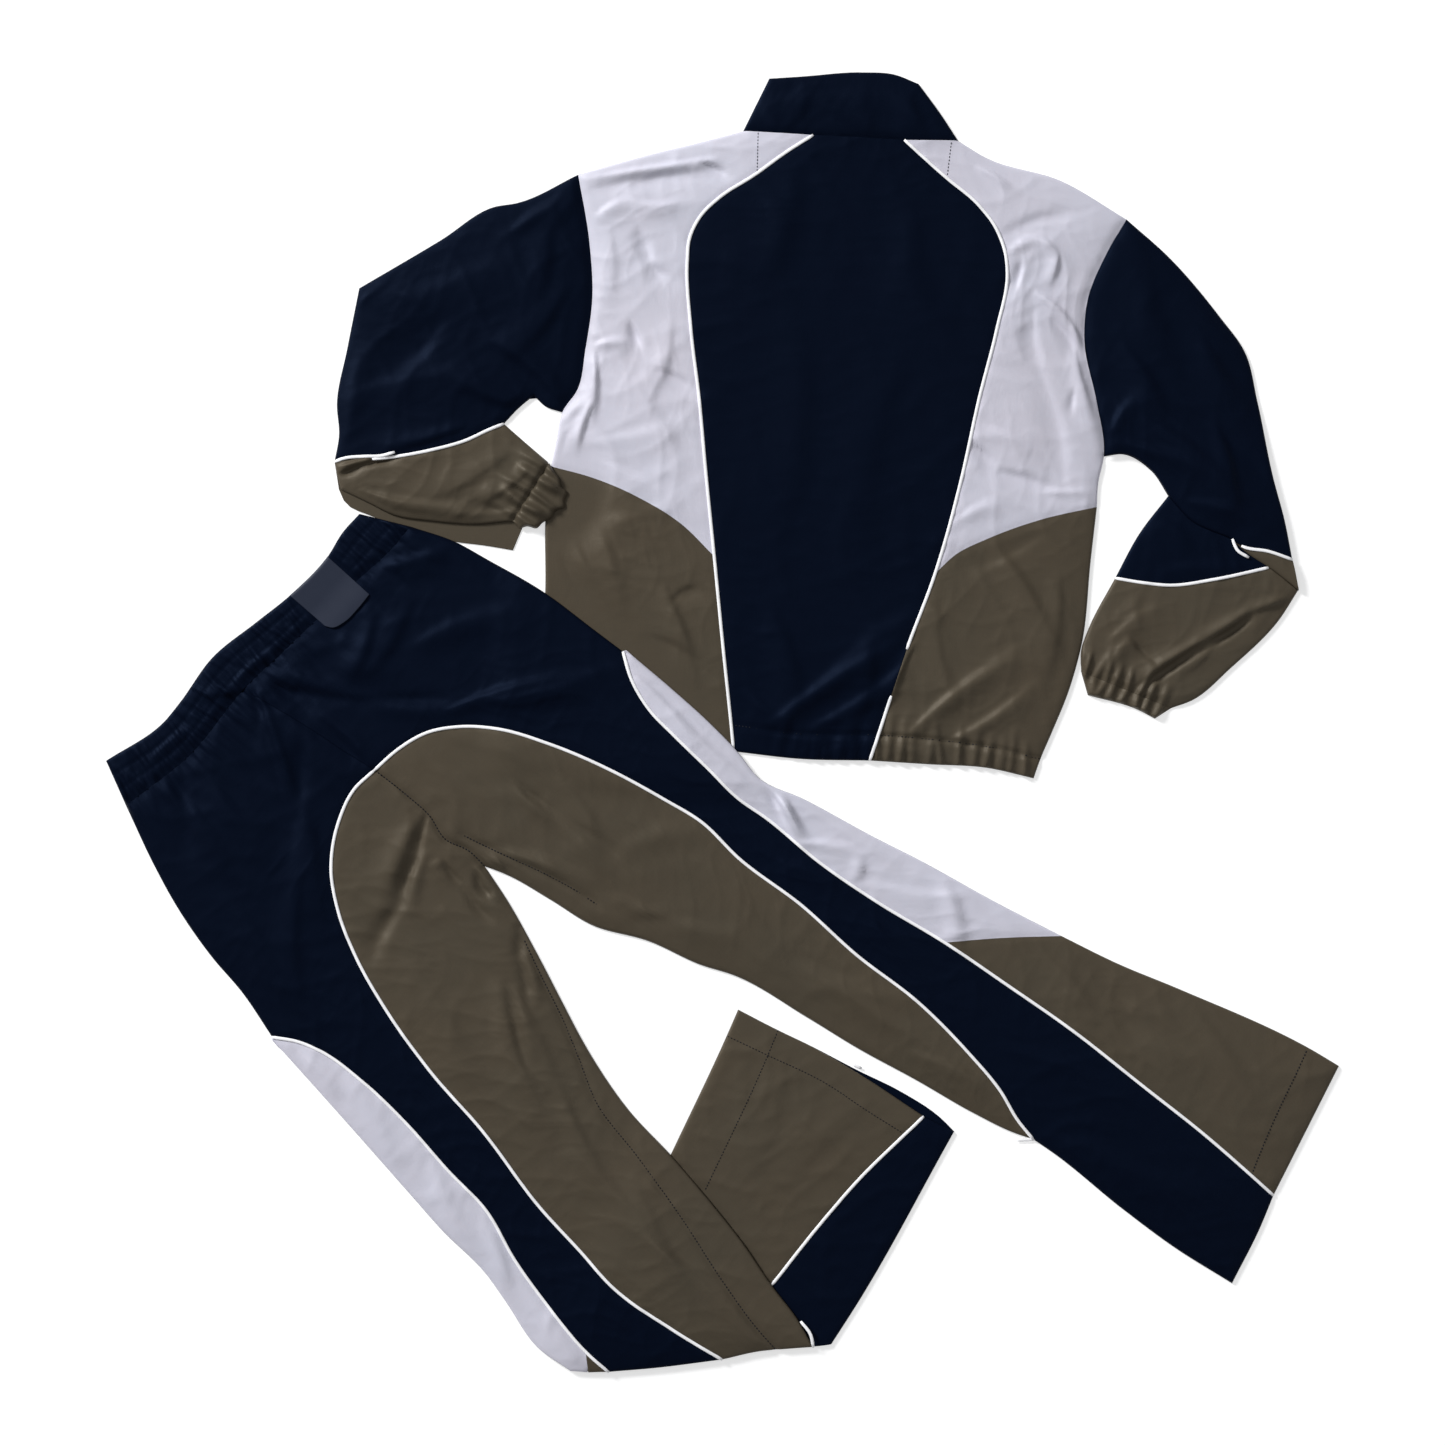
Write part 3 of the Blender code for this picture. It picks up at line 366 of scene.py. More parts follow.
def cut_size(grain):
    """Find the smallest rectangle of cloth that a piece is cut from."""
    sizes = []
    for turn in np.radians(np.arange(0, 90, 3)):
        turned = np.array(((math.cos(turn), -math.sin(turn)), (math.sin(turn), math.cos(turn))))
        sizes.append(np.ptp(grain @ turned, axis=0))
    return sorted(float(size) for size in min(sizes, key=np.prod))


def piece(name, sides, height, cloth, replaced, garment, held="laid",
          step=STEP, thick=THREAD, low=LIE):
    bm, place = cut_out(sides, step)
    grain, flat_area = raised(bm, place, np.maximum(height(place), low), garment)
    made = sewn_in(name, bm, cloth, replaced)
    wall = made.modifiers.new("wall", "SOLIDIFY")
    wall.thickness = thick
    wall.offset = -1.0
    wide, long = cut_size(grain)
    return made


class Wire:
    """A shader socket that takes part in sums."""

    def __init__(self, finish, socket):
        self.finish, self.socket = finish, socket

    def sum(self, kind, first, second):
        return self.finish.node("ShaderNodeMath", {"operation": kind}, {0: first, 1: second})

    def __add__(self, other):
        return self.sum("ADD", self, other)

    def __radd__(self, other):
        return self.sum("ADD", other, self)

    def __sub__(self, other):
        return self.sum("SUBTRACT", self, other)

    def __rsub__(self, other):
        return self.sum("SUBTRACT", other, self)

    def __mul__(self, other):
        return self.sum("MULTIPLY", self, other)

    def __rmul__(self, other):
        return self.sum("MULTIPLY", other, self)

    def sine(self):
        return self.sum("SINE", self, 0.0)


class Finish:
    """A material under way: its nodes, and the shader that they feed."""

    def __init__(self, name):
        self.material = bpy.data.materials.new(name)
        self.material.use_nodes = True
        self.tree = self.material.node_tree
        self.shader = self.tree.nodes["Principled BSDF"]

    def node(self, kind, settings, values, out=0):
        made = self.tree.nodes.new(kind)
        for key, value in settings.items():
            setattr(made, key, value)
        for key, value in values.items():
            if isinstance(value, Wire):
                self.tree.links.new(value.socket, made.inputs[key])
            else:
                made.inputs[key].default_value = value
        return Wire(self, made.outputs[out])

    def mixed(self, part, first, second):
        """Mix two colours by a part from 0 to 1."""
        colours = {6: (*first, 1.0), 7: (*second, 1.0)}
        return self.node("ShaderNodeMix", {"data_type": "RGBA"}, {0: part, **colours}, 2)

    def feed(self, key, wire):
        self.tree.links.new(wire.socket, self.shader.inputs[key])

    def set(self, **values):
        for key, value in values.items():
            self.shader.inputs[key.replace("_", " ")].default_value = value


WEAVE = 0.9 * MM                 # from a thread to the next but one
YARN_FINE, YARN_LONG = 900.0, 26.0       # how fine the yarns' unevenness is across and along them
CRUSH_FINE, CLOUD_FINE = 38.0, 6.0
THREADS_STAND, YARNS_STAND, CRUSH_STANDS = 0.10, 0.45, 1.5


def woven(name, colour, second_tone, roughness, gloss, tint=(1.0, 1.0, 1.0)):
    """Finish a plain woven polyester: threads both ways, uneven yarns and a fine crush."""
    finish = Finish(name)
    cut = finish.node("ShaderNodeUVMap", {"uv_map": "cloth"}, {})
    weft = finish.node("ShaderNodeSeparateXYZ", {}, {0: cut})
    warp = finish.node("ShaderNodeSeparateXYZ", {}, {0: cut}, 1)
    threads = (weft * (2 * math.pi / WEAVE)).sine() * (warp * (2 * math.pi / WEAVE)).sine()
    yarns = []
    for stretch in ((YARN_FINE, YARN_LONG, 1.0), (YARN_LONG, YARN_FINE, 1.0)):
        drawn = finish.node("ShaderNodeMapping", {}, {"Vector": cut, "Scale": stretch})
        yarns.append(finish.node("ShaderNodeTexNoise", {}, {"Vector": drawn, "Scale": 1.0, "Detail": 2.0}))
    uneven = (yarns[0] + yarns[1]) * 0.5
    crush = finish.node("ShaderNodeTexNoise", {}, {"Vector": cut, "Scale": CRUSH_FINE, "Detail": 5.0,
                                                   "Roughness": 0.62, "Distortion": 0.8})
    cloud = finish.node("ShaderNodeTexNoise", {}, {"Vector": cut, "Scale": CLOUD_FINE, "Detail": 3.0})
    # The base colour mixes the colour with a second tone in random patches; for the light cloth these two
    # are a painted lit tint and a painted shade tint.
    finish.feed("Base Color", finish.mixed(uneven * 0.5 + cloud * 0.5, colour, second_tone))
    finish.feed("Roughness", roughness + 0.12 * (crush - 0.5))
    lift = threads * THREADS_STAND + uneven * YARNS_STAND + crush * CRUSH_STANDS
    finish.feed("Normal", finish.node("ShaderNodeBump", {}, {"Height": lift, "Strength": 0.3,
                                                             "Distance": 0.9 * MM}))
    finish.set(Specular_IOR_Level=gloss, Specular_Tint=(*tint, 1.0))
    return finish.material


NAVY, NAVY_FADED = (0.0013, 0.0027, 0.0082), (0.0021, 0.0039, 0.0108)
# The light cloth's first colour is a painted lit tint, pinkish, and its second a painted shade tint,
# bluish; the navy and olive pairs are uneven tones of the cloth.
LIGHT, LIGHT_SHADE_TINT = (0.62, 0.565, 0.63), (0.55, 0.59, 0.70)
OLIVE, OLIVE_FADED = (0.050, 0.047, 0.035), (0.082, 0.060, 0.039)
navy_cloth = woven("navy", NAVY, NAVY_FADED, 0.52, 0.075, (0.3, 0.5, 1.0))
light_cloth = woven("light", LIGHT, LIGHT_SHADE_TINT, 0.48, 0.30)
olive_cloth = woven("olive", OLIVE, OLIVE_FADED, 0.48, 0.24, (1.0, 0.9, 0.75))

# The seams run through rows of (down, across), in millimetres from the middle of the neck
piping_left_yoke, piping_left_side = seam(JACKET, (
    (2, -46), (23, -73), (46, -99), (74, -134), (93, -150), (117, -159), (139, -159), (206, -149),
    (275, -134), (344, -121), (430, -104), (522, -86), (596, -71), (622, -66)), 10)
piping_right_yoke, piping_right_side = seam(JACKET, (
    (-2, 45), (16, 69), (32, 91), (54, 123), (75, 143), (101, 156), (121, 160), (177, 155), (248, 144),
    (330, 134), (426, 117), (504, 96), (592, 76), (618, 70)), 10)
piping_left = run(piping_left_yoke, piping_left_side)
piping_right = run(piping_right_yoke, piping_right_side)
neck_left, neck_back, neck_right = seam(JACKET, ((4, -116), (2, -46), (0, 0), (-2, 45), (-7, 99)), 1, 3)
shoulder_left = seam(JACKET, ((4, -116), (19, -157), (36, -206), (63, -276)))
shoulder_right = seam(JACKET, ((-7, 99), (7, 128), (23, 205), (55, 274)))
armhole_left, upper_side_left = seam(JACKET, (
    (63, -276), (126, -259), (186, -250), (236, -252), (277, -256), (301, -269), (329, -272),
    (356, -275)), 5)
armhole_right, upper_side_right = seam(JACKET, (
    (55, 274), (92, 257), (138, 243), (183, 244), (237, 261), (293, 274), (321, 271), (344, 272)), 5)
side_left = seam(JACKET, ((356, -275), (399, -276), (479, -269), (569, -265), (609, -266), (631, -267)))
side_right = seam(JACKET, (
    (344, 272), (397, 271), (482, 270), (528, 262), (575, 248), (600, 240), (620, 235)))
cross_left = seam(JACKET, ((356, -275), (363, -234), (380, -182), (401, -140), (430, -104)))
cross_right = seam(JACKET, ((426, 117), (405, 136), (387, 165), (362, 218), (344, 272)))
hem_left = seam(JACKET, ((631, -267), (627, -160), (622, -66)))
hem_back = seam(JACKET, ((622, -66), (623, 1), (618, 70)))
hem_right = seam(JACKET, ((618, 70), (616, 131), (614, 187), (620, 235)))
casing_end, casing_shown = seam(JACKET, (
    (609, -266), (596, -71), (598, 1), (592, 76), (591, 131), (593, 187), (600, 240)), 1)
casing = run(casing_end, casing_shown)
hem = run(hem_left, hem_back, hem_right)
base = run(neck_left, neck_back, neck_right)
body_edges = (shoulder_left, shoulder_right, run(upper_side_left, side_left),
              run(upper_side_right, side_right), hem)
panel_seams = (piping_left, piping_right, cross_left, cross_right)

CUFF_ON_BODY, CUFF_REST = (385, -265), 36 * MM
TROUSERS_REACH, TROUSERS_FADE = 258, 60  # how far across the trousers lie on the jacket, and press on
TROUSERS_START = 60              # how far down them they first do

# The body's creases: from, to, width, high, bend, in millimetres of (down, across)
BODY_CREASES = (
    (66, -270, 36, -142, 5, 2.4, 0), (77, -262, 48, -140, 9, -1.6, 2), (102, -251, 85, -221, 9, 1.8, 2),
    (85, -221, 86, -173, 9, 1.8, -3), (113, -210, 144, -197, 9, -2.0, 2),
    (144, -197, 159, -174, 9, -2.0, -2), (208, -209, 231, -198, 6, -2.6, 1),
    (250, -183, 268, -138, 7, -1.8, 3), (231, -242, 226, -211, 6, 2.2, 2),
    (241, -243, 302, -239, 7, 2.6, 2), (40, -152, 50, -128, 5, -2.2, 1), (205, -170, 285, -190, 12, 1.4, 7),
    (250, -240, 330, -150, 14, 1.2, 9), (330, -250, 300, -150, 10, 1.0, -5),
    (345, -235, 390, -130, 9, 1.1, 4), (120, -240, 185, -235, 12, 1.2, 4), (18, 123, 36, 156, 5, 1.8, 1),
    (83, 151, 54, 223, 12, -1.6, 4), (98, 160, 83, 187, 6, 2.2, 2), (83, 187, 97, 208, 6, 2.2, 2),
    (97, 208, 126, 202, 6, 1.8, 2), (109, 173, 136, 168, 6, -1.8, 1), (138, 192, 166, 229, 5, 2.6, 2),
    (166, 229, 189, 243, 5, 2.2, 1), (162, 210, 195, 240, 6, -1.8, 2), (157, 189, 222, 204, 12, -1.6, -4),
    (222, 204, 331, 235, 15, -1.8, 6), (194, 235, 268, 268, 8, 2.0, -3), (293, 142, 318, 168, 7, -2.0, 2),
    (318, 168, 330, 225, 8, -2.0, 2), (230, 238, 253, 237, 4, -1.2, 0), (334, 217, 330, 260, 4, 1.2, 0),
    (277, 154, 298, 201, 9, 1.6, 3), (369, 138, 351, 176, 8, 1.4, 3), (40, -60, 150, -90, 22, 1.6, 10),
    (70, 60, 190, 95, 22, 1.6, -10), (200, -40, 400, -55, 26, 1.3, 14), (220, 60, 420, 40, 26, 1.3, -12),
    (480, -40, 590, -10, 16, 1.8, 8), (590, -30, 500, 85, 11, 3.2, 4), (500, 60, 590, 50, 12, 1.6, 5),
    (560, -60, 600, -20, 8, 1.6, 2), (590, 10, 520, 100, 8, 1.8, -4), (540, 20, 470, 105, 14, 1.5, 5),
    (395, 175, 490, 240, 13, 2.2, 6), (460, 120, 560, 150, 14, 1.4, -6), (585, 110, 500, 205, 11, 3.0, 5),
    (590, 150, 530, 225, 9, 2.2, -4), (420, 240, 520, 235, 12, 1.6, 5), (380, 215, 420, 140, 12, -1.2, 4),
    (470, -150, 575, -110, 12, 2.2, 6), (400, -230, 520, -190, 16, 1.5, 8),
    (520, -180, 600, -140, 10, 1.6, 4), (440, -260, 540, -235, 12, 1.6, 4),
    (290, -241, 343, -252, 5, 2.2, -2), (343, -252, 354, -244, 4, 1.6, 0),
    (308, -267, 288, -250, 5, 1.8, 2), (322, -262, 350, -266, 4, -1.8, 0),
    (441, -258, 498, -217, 7, -2.4, -3), (498, -217, 526, -191, 6, -3.0, -1),
    (427, -246, 489, -202, 9, 1.8, -3), (515, -161, 546, -101, 10, -2.0, 4),
    (477, -141, 464, -114, 8, -1.6, 3), (404, -220, 410, -180, 10, 1.2, 3), (500, 101, 556, 85, 6, 2.4, -2)
)


def unpressed(place):
    """Say how free the jacket is of what lies on it: 0 under the trousers or the cuff."""
    down, across = rows_of(TROUSERS, place)
    from_trousers = np.where(down > TROUSERS_START, eased((across - TROUSERS_REACH) / TROUSERS_FADE), 1.0)
    cuff = laid(JACKET, (CUFF_ON_BODY,))[0]
    return from_trousers * eased((np.linalg.norm(place - cuff, axis=1) - CUFF_REST) / CUFF_REST)


def body_top(place):
    """Work out the height of the jacket's back."""
    free = unpressed(place)
    height = draped(place, JACKET, body_edges, (armhole_left, armhole_right), BODY_CREASES, 11, free)
    height += free * gathered(place, hem, *HEM_GATHERS)
    return height + sunk(place, panel_seams, *PIPED_SINK) + free * sunk(place, (casing,), *CASING_SINK)


BODY_PANELS = (
    ("back_centre", navy_cloth, "jacket_back", (neck_back, hem_back, piping_left, piping_right)),
    ("back_yoke_left", light_cloth, "jacket_yoke_left",
     (run(shoulder_left[::-1], neck_left), cross_left, run(armhole_left, upper_side_left),
      piping_left_yoke)),
    ("back_yoke_right", light_cloth, "jacket_yoke_right",
     (run(neck_right, shoulder_right), cross_right, piping_right_yoke,
      run(armhole_right, upper_side_right))),
    ("back_side_left", olive_cloth, "jacket_side_left",
     (cross_left, hem_left, side_left, piping_left_side)),
    ("back_side_right", olive_cloth, "jacket_side_right",
     (cross_right, hem_right, piping_right_side, side_right)),
)
for name, cloth, node, sides in BODY_PANELS:
    fronts = ["front_left", "front_right"] if node == "jacket_back" else ["front_" + name.split("_")[-1]]
    piece(name, sides, body_top, cloth, [node], JACKET, "laid" if "yoke" in name else "gathered",
          step=FINE_STEP if "side" in name else STEP)

# The jacket's piping and stitching
# A white cord in a folded strip is sewn into each seam of the back. Navy thread holds the hem's casing
# and the two short seams at the ends of the collar.
PIPING_WIDE, PIPING_HIGH = 3.2 * MM, 1.3 * MM
PIPING_STEP, PIPING_SIDES = 4 * MM, 10
PIPING_END, PIPING_STANDS = 0.7, 0.3     # how slim its ends are, and how far its middle is over the cloth
STITCH_LONG, STITCH_WIDE, STITCH_HIGH, STITCH_APART = 2.4, 0.6, 0.44, 3.4       # millimetres
FIBRES_FINE, FLECKS_FINE = 900.0, 60.0
PIPING_DIVES, PIPING_RISES = 265, 277    # points of the right seam between which a fold hides it


def piped(name, line, height, replaced):
    """Lay a white piping along a seam."""
    count = max(2, round(lengths(line)[-1] / PIPING_STEP))
    middle = at(line, np.linspace(0.0, 1.0, count + 1))
    ahead = np.gradient(middle, axis=0)
    side = np.column_stack((-ahead[:, 1], ahead[:, 0])) / np.linalg.norm(ahead, axis=1)[:, None]
    crest = np.max([height(middle + side * PIPING_WIDE / 2 * part) for part in (-1, 0, 1)], axis=0)
    crest = np.maximum(UNDER_TOP, crest)
    bm = bmesh.new()
    bmesh.ops.create_grid(bm, x_segments=PIPING_SIDES, y_segments=count, size=0.5)
    for vert in bm.verts:
        ring = round((0.5 - vert.co.y) * count)
        turn = 2 * math.pi * (vert.co.x + 0.5)
        slim = PIPING_END if ring in (0, count) else 1.0
        x, y = middle[ring] + side[ring] * slim * math.cos(turn) * PIPING_WIDE / 2
        vert.co = (x, y, crest[ring] + PIPING_HIGH * (PIPING_STANDS - 0.5 * slim * math.sin(turn)))
    bmesh.ops.remove_doubles(bm, verts=bm.verts, dist=WELD)
    bmesh.ops.holes_fill(bm, edges=[edge for edge in bm.edges if edge.is_boundary])
    bmesh.ops.recalc_face_normals(bm, faces=bm.faces)
    return sewn_in(name, bm, white_piping, replaced)


def stitched(name, lines, height, thread, lift=0.15, thick=1.0):
    """Sew a row of stitches along each line."""
    bm = bmesh.new()
    for line in lines:
        count = max(2, round(lengths(line)[-1] / (STITCH_APART * MM)))
        middle = at(line, (np.arange(count) + 0.5) / count)
        ahead = np.gradient(middle, axis=0)
        high = np.maximum(UNDER_TOP, height(middle)) + lift * MM
        rise = np.gradient(high) / np.maximum(np.linalg.norm(ahead, axis=1), 1e-6)
        for (x, y), z, way, slope in zip(middle, high, ahead, rise):
            turn = Matrix.Rotation(math.atan2(way[1], way[0]), 4, "Z") @ Matrix.Rotation(-slope, 4, "Y")
            size = Vector((STITCH_LONG, STITCH_WIDE * thick, STITCH_HIGH)) / 2 * MM
            shape = Matrix.Diagonal((*size, 1.0))
            bmesh.ops.create_icosphere(bm, subdivisions=1, radius=1.0,
                                       matrix=Matrix.Translation((x, y, z)) @ turn @ shape)
    return sewn_in(name, bm, thread, [])


def spun(name, colour, second_tone, roughness, gloss):
    """Finish a thread or a piping: fine twisted fibres with a little unevenness."""
    finish = Finish(name)
    place = finish.node("ShaderNodeTexCoord", {}, {}, 3)
    fibres = finish.node("ShaderNodeTexNoise", {}, {"Vector": place, "Scale": FIBRES_FINE, "Detail": 2.0})
    cloud = finish.node("ShaderNodeTexNoise", {}, {"Vector": place, "Scale": FLECKS_FINE, "Detail": 2.0})
    finish.feed("Base Color", finish.mixed(fibres * 0.5 + cloud * 0.5, colour, second_tone))
    finish.feed("Roughness", roughness + 0.1 * (cloud - 0.5))
    finish.feed("Normal", finish.node("ShaderNodeBump", {}, {"Height": fibres, "Strength": 0.4,
                                                             "Distance": 0.2 * MM}))
    finish.set(Specular_IOR_Level=gloss)
    return finish.material


WHITE, WHITE_FADED = (0.97, 0.97, 0.98), (0.91, 0.91, 0.94)
white_piping = spun("white_piping", WHITE, WHITE_FADED, 0.5, 0.3)
navy_thread = spun("navy_thread", (0.002, 0.003, 0.007), (0.006, 0.008, 0.014), 0.5, 0.2)

piped("piping_back_left", piping_left[:-3], body_top, ["jacket_piping_left"])
piped("piping_back_right", piping_right[:PIPING_DIVES], body_top, ["jacket_piping_right"])
piped("piping_back_right_low", piping_right[PIPING_RISES:], body_top, [])
short_seams = [seam(JACKET, rows) for rows in (((4, -101), (47, -98)), ((-5, 92), (33, 91)))]
stitched("stitches_casing", [casing_shown], body_top, navy_thread, thick=2.5)
stitched("stitches_collar_ends", short_seams, body_top, navy_thread, thick=1.8)

# The collar
# A navy stand collar, turned up and lying flat above the neck seam, over its own front half.
COLLAR_PUFF = 2.6 * MM
COLLAR_CREASES = (
    (-45, -60, -8, -70, 12, 0.9, 3), (-55, 0, -5, 8, 16, 0.8, -3), (-50, 40, -8, 55, 12, 1.0, 3),
    (-30, -90, -40, 60, 14, 0.8, 4)
)
UNDER_STEP, UNDER_THREAD = 9 * MM, THREAD * 0.9
collar_left = seam(JACKET, ((-51, -95), (-17, -108), (4, -116)))
collar_top = seam(JACKET, ((-51, -95), (-56, -64), (-66, -4), (-67, 29), (-60, 54)))
collar_right = seam(JACKET, ((-60, 54), (-32, 79), (-7, 99)))
collar_edges = (run(collar_left[::-1], collar_top, collar_right),)


def collar_height(place):
    return draped(place, JACKET, collar_edges, (base,), COLLAR_CREASES, 12, puff=COLLAR_PUFF)


def resting(place):
    return np.full(len(place), UNDER_TOP)


def under(name, sides, cloth, replaced, garment, height=resting):
    """Cut an under layer and lay it flat."""
    return piece(name, sides, height, cloth, replaced, garment,
                 step=UNDER_STEP, thick=UNDER_THREAD, low=UNDER_TOP)


collar_sides = (collar_top, base, collar_left, collar_right)
piece("collar_back", collar_sides, collar_height, navy_cloth, ["jacket_collar"], JACKET)
under("collar_front", collar_sides, navy_cloth, ["jacket_collar_front"], JACKET)

# The jacket's fronts
# Two navy fronts lie face down on the table under the back. A closed zip joins them, its slider at the
# top; the tape and the slider keep the shapes of the CAD model.
ZIP_HALF, ZIP_LONG = 4, 620      # millimetres


def straight(a, b):
    return np.linspace(a, b, 5)


zip_left = laid(JACKET, ((0, -ZIP_HALF), (ZIP_LONG, -ZIP_HALF)))
zip_right = laid(JACKET, ((0, ZIP_HALF), (ZIP_LONG, ZIP_HALF)))
under("front_left", (run(shoulder_left[::-1], neck_left, straight(neck_left[-1], zip_left[0])),
                     run(hem_left, straight(hem_left[-1], zip_left[1])),
                     run(armhole_left, upper_side_left, side_left), zip_left),
      navy_cloth, ["jacket_front_left"], JACKET)
under("front_right", (run(straight(zip_right[0], neck_right[0]), neck_right, shoulder_right),
                      run(straight(zip_right[1], hem_right[0]), hem_right), zip_right,
                      run(armhole_right, upper_side_right, side_right)),
      navy_cloth, ["jacket_front_right"], JACKET)
zip_metal = spun("zip_metal", (0.05, 0.055, 0.07), (0.03, 0.034, 0.045), 0.35, 0.5)
for node, finish in (("jacket_zip", navy_thread), ("jacket_zip_slider", zip_metal)):
    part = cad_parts[node]
    part = bpy.data.objects[part] if isinstance(part, str) else part
    part.data.materials.clear()
    part.data.materials.append(finish)

# The left sleeve
# A navy upper arm lies on its own under side. At the elbow's piping the olive forearm turns back to the
# body, its under layer showing along the low edge, and its bunched elastic cuff rests on the back.
SLEEVE_STEP = 1.8 * MM
CUFF_LIFT = 3.6 * MM             # the cuff rises over the body, from these rows on
BODY_SIDE, BODY_SIDE_FADE, BODY_DOWN, BODY_DOWN_FADE = -325, 45, 330, 20
ON_BODY_FLAT = 0.7               # the part of its air that it loses there
CUFF_LEFT_GATHERS, CUFF_LEFT_SINK = (13, 7.5, 32, 21, 14), (2.6, 3.0)
ELBOW_SINK = (0.8, 4.0)
SLEEVE_CREASE_FADE = 12 * MM
ARM_LEFT_CREASES = (
    (225, -400, 275, -450, 20, -2.2, 6), (126, -335, 95, -293, 9, 2.0, 3),
    (206, -460, 153, -325, 26, 1.8, -9), (308, -481, 277, -363, 18, 1.6, 8),
    (175, -275, 250, -330, 14, 1.8, 5), (285, -275, 235, -345, 11, 2.6, -5),
    (300, -300, 270, -390, 13, 2.4, 5), (120, -300, 200, -310, 14, 1.5, 4),
    (326, -367, 353, -440, 7, 1.8, 2), (340, -480, 250, -470, 15, 1.6, 4),
    (378, -489, 366, -455, 4, 1.6, 0), (387, -489, 373, -465, 4, -3.0, 0),
    (375, -468, 362, -430, 4, -2.8, 1), (400, -460, 405, -340, 9, 2.0, -5),
    (345, -320, 400, -400, 12, 1.5, 6), (365, -300, 398, -345, 8, 1.8, 3),
    (400, -300, 404, -360, 6, -1.8, 2)
)
arm_left_top = seam(JACKET, ((63, -276), (97, -334), (103, -356), (141, -406), (197, -483)))
arm_left_end = seam(JACKET, ((197, -483), (257, -489), (315, -494), (345, -489), (372, -491)))
arm_left_pit = run(seam(JACKET, ((301, -269), (297, -286), (287, -299))),
                   seam(JACKET, ((287, -299), (301, -313), (318, -326))))
elbow_left = seam(JACKET, (
    (318, -326), (326, -341), (338, -361), (352, -397), (360, -427), (364, -455), (372, -491)))
tip_left = seam(JACKET, ((372, -491), (388, -486), (399, -482)))
low_left = seam(JACKET, ((399, -482), (409, -455), (420, -425), (422, -389), (421, -345), (414, -308)))
cuff_seam_left = laid(JACKET, ((353, -277), (414, -308)))
inner_edge_left = seam(JACKET, ((318, -326), (336, -301), (353, -277)))
cuff_left_out = seam(JACKET, (
    (362, -270), (367, -265), (376, -262), (380, -256), (389, -258), (395, -257), (400, -266), (407, -269),
    (413, -278), (419, -283), (418, -293), (421, -300)))
peeking = seam(JACKET, (
    (399, -484), (411, -477), (423, -447), (431, -421), (440, -365), (441, -333), (443, -305)))
elbow_piping = seam(JACKET, ((318, -326), (326, -341), (338, -361), (352, -397), (361, -429), (366, -453)))
elbow_piping_second = seam(JACKET, ((372, -491), (368, -482), (364, -461), (362, -445), (357, -431)))
arm_left_edges = (run(arm_left_top, arm_left_end, tip_left, low_left), arm_left_pit,
                  run(inner_edge_left, straight(inner_edge_left[-1], cuff_left_out[0]), cuff_left_out,
                      straight(cuff_left_out[-1], cuff_seam_left[1])))


def arm_left(place):
    """Work out the height of the left sleeve and of its cuff, which lies on the body."""
    down, across = rows_of(JACKET, place)
    on_body = eased((across - BODY_SIDE) / BODY_SIDE_FADE) * eased((down - BODY_DOWN) / BODY_DOWN_FADE)
    edge = near(place, arm_left_edges)
    sewn = np.minimum(edge, near(place, (armhole_left,)))
    rise = PUFF * (1 - np.exp(-2 * sewn / PUFF_REACH))
    rise += creased(place, JACKET, ARM_LEFT_CREASES) * eased(sewn / SLEEVE_CREASE_FADE)
    rise += crumpled(place, 13) * eased(sewn / WRINKLE_FADE)
    rise += sunk(place, (armhole_left,), SEAM_DEEP, SEAM_WIDE) + sunk(place, (elbow_left,), *ELBOW_SINK)
    bunched = gathered(place, cuff_seam_left, *CUFF_LEFT_GATHERS)
    bunched += sunk(place, (cuff_seam_left,), *CUFF_LEFT_SINK)
    height = rolled(edge) + rise * (1 - ON_BODY_FLAT * on_body) + bunched * eased(edge / EDGE_FADE)
    return height + CUFF_LIFT * on_body


arm_sides = (arm_left_top, run(arm_left_pit, elbow_left), armhole_left, arm_left_end)
piece("arm_left", arm_sides, arm_left, navy_cloth, ["sleeve_left_upper"], JACKET)
under("arm_left_under", arm_sides, navy_cloth, ["sleeve_left_upper_under"], JACKET)
forearm_sides = (elbow_left[::-1], low_left, tip_left, run(inner_edge_left, cuff_seam_left))
piece("forearm_left", forearm_sides, arm_left, olive_cloth, ["sleeve_left_lower"],
      JACKET, step=SLEEVE_STEP)
cuff_sides = (cuff_seam_left[::-1], cuff_left_out[::-1], straight(cuff_seam_left[1], cuff_left_out[-1]),
              straight(cuff_seam_left[0], cuff_left_out[0]))
piece("cuff_left", cuff_sides, arm_left, olive_cloth, ["sleeve_left_cuff"],
      JACKET, "gathered", step=SLEEVE_STEP)
under("forearm_left_under", (elbow_left[::-1], peeking, straight(elbow_left[-1], peeking[0]),
                             run(inner_edge_left, straight(cuff_seam_left[0], peeking[-1]))),
      olive_cloth, ["sleeve_left_lower_under"], JACKET)
piped("piping_elbow_left", elbow_piping, arm_left, ["sleeve_left_piping"])
piped("piping_elbow_left_second", elbow_piping_second, arm_left, [])

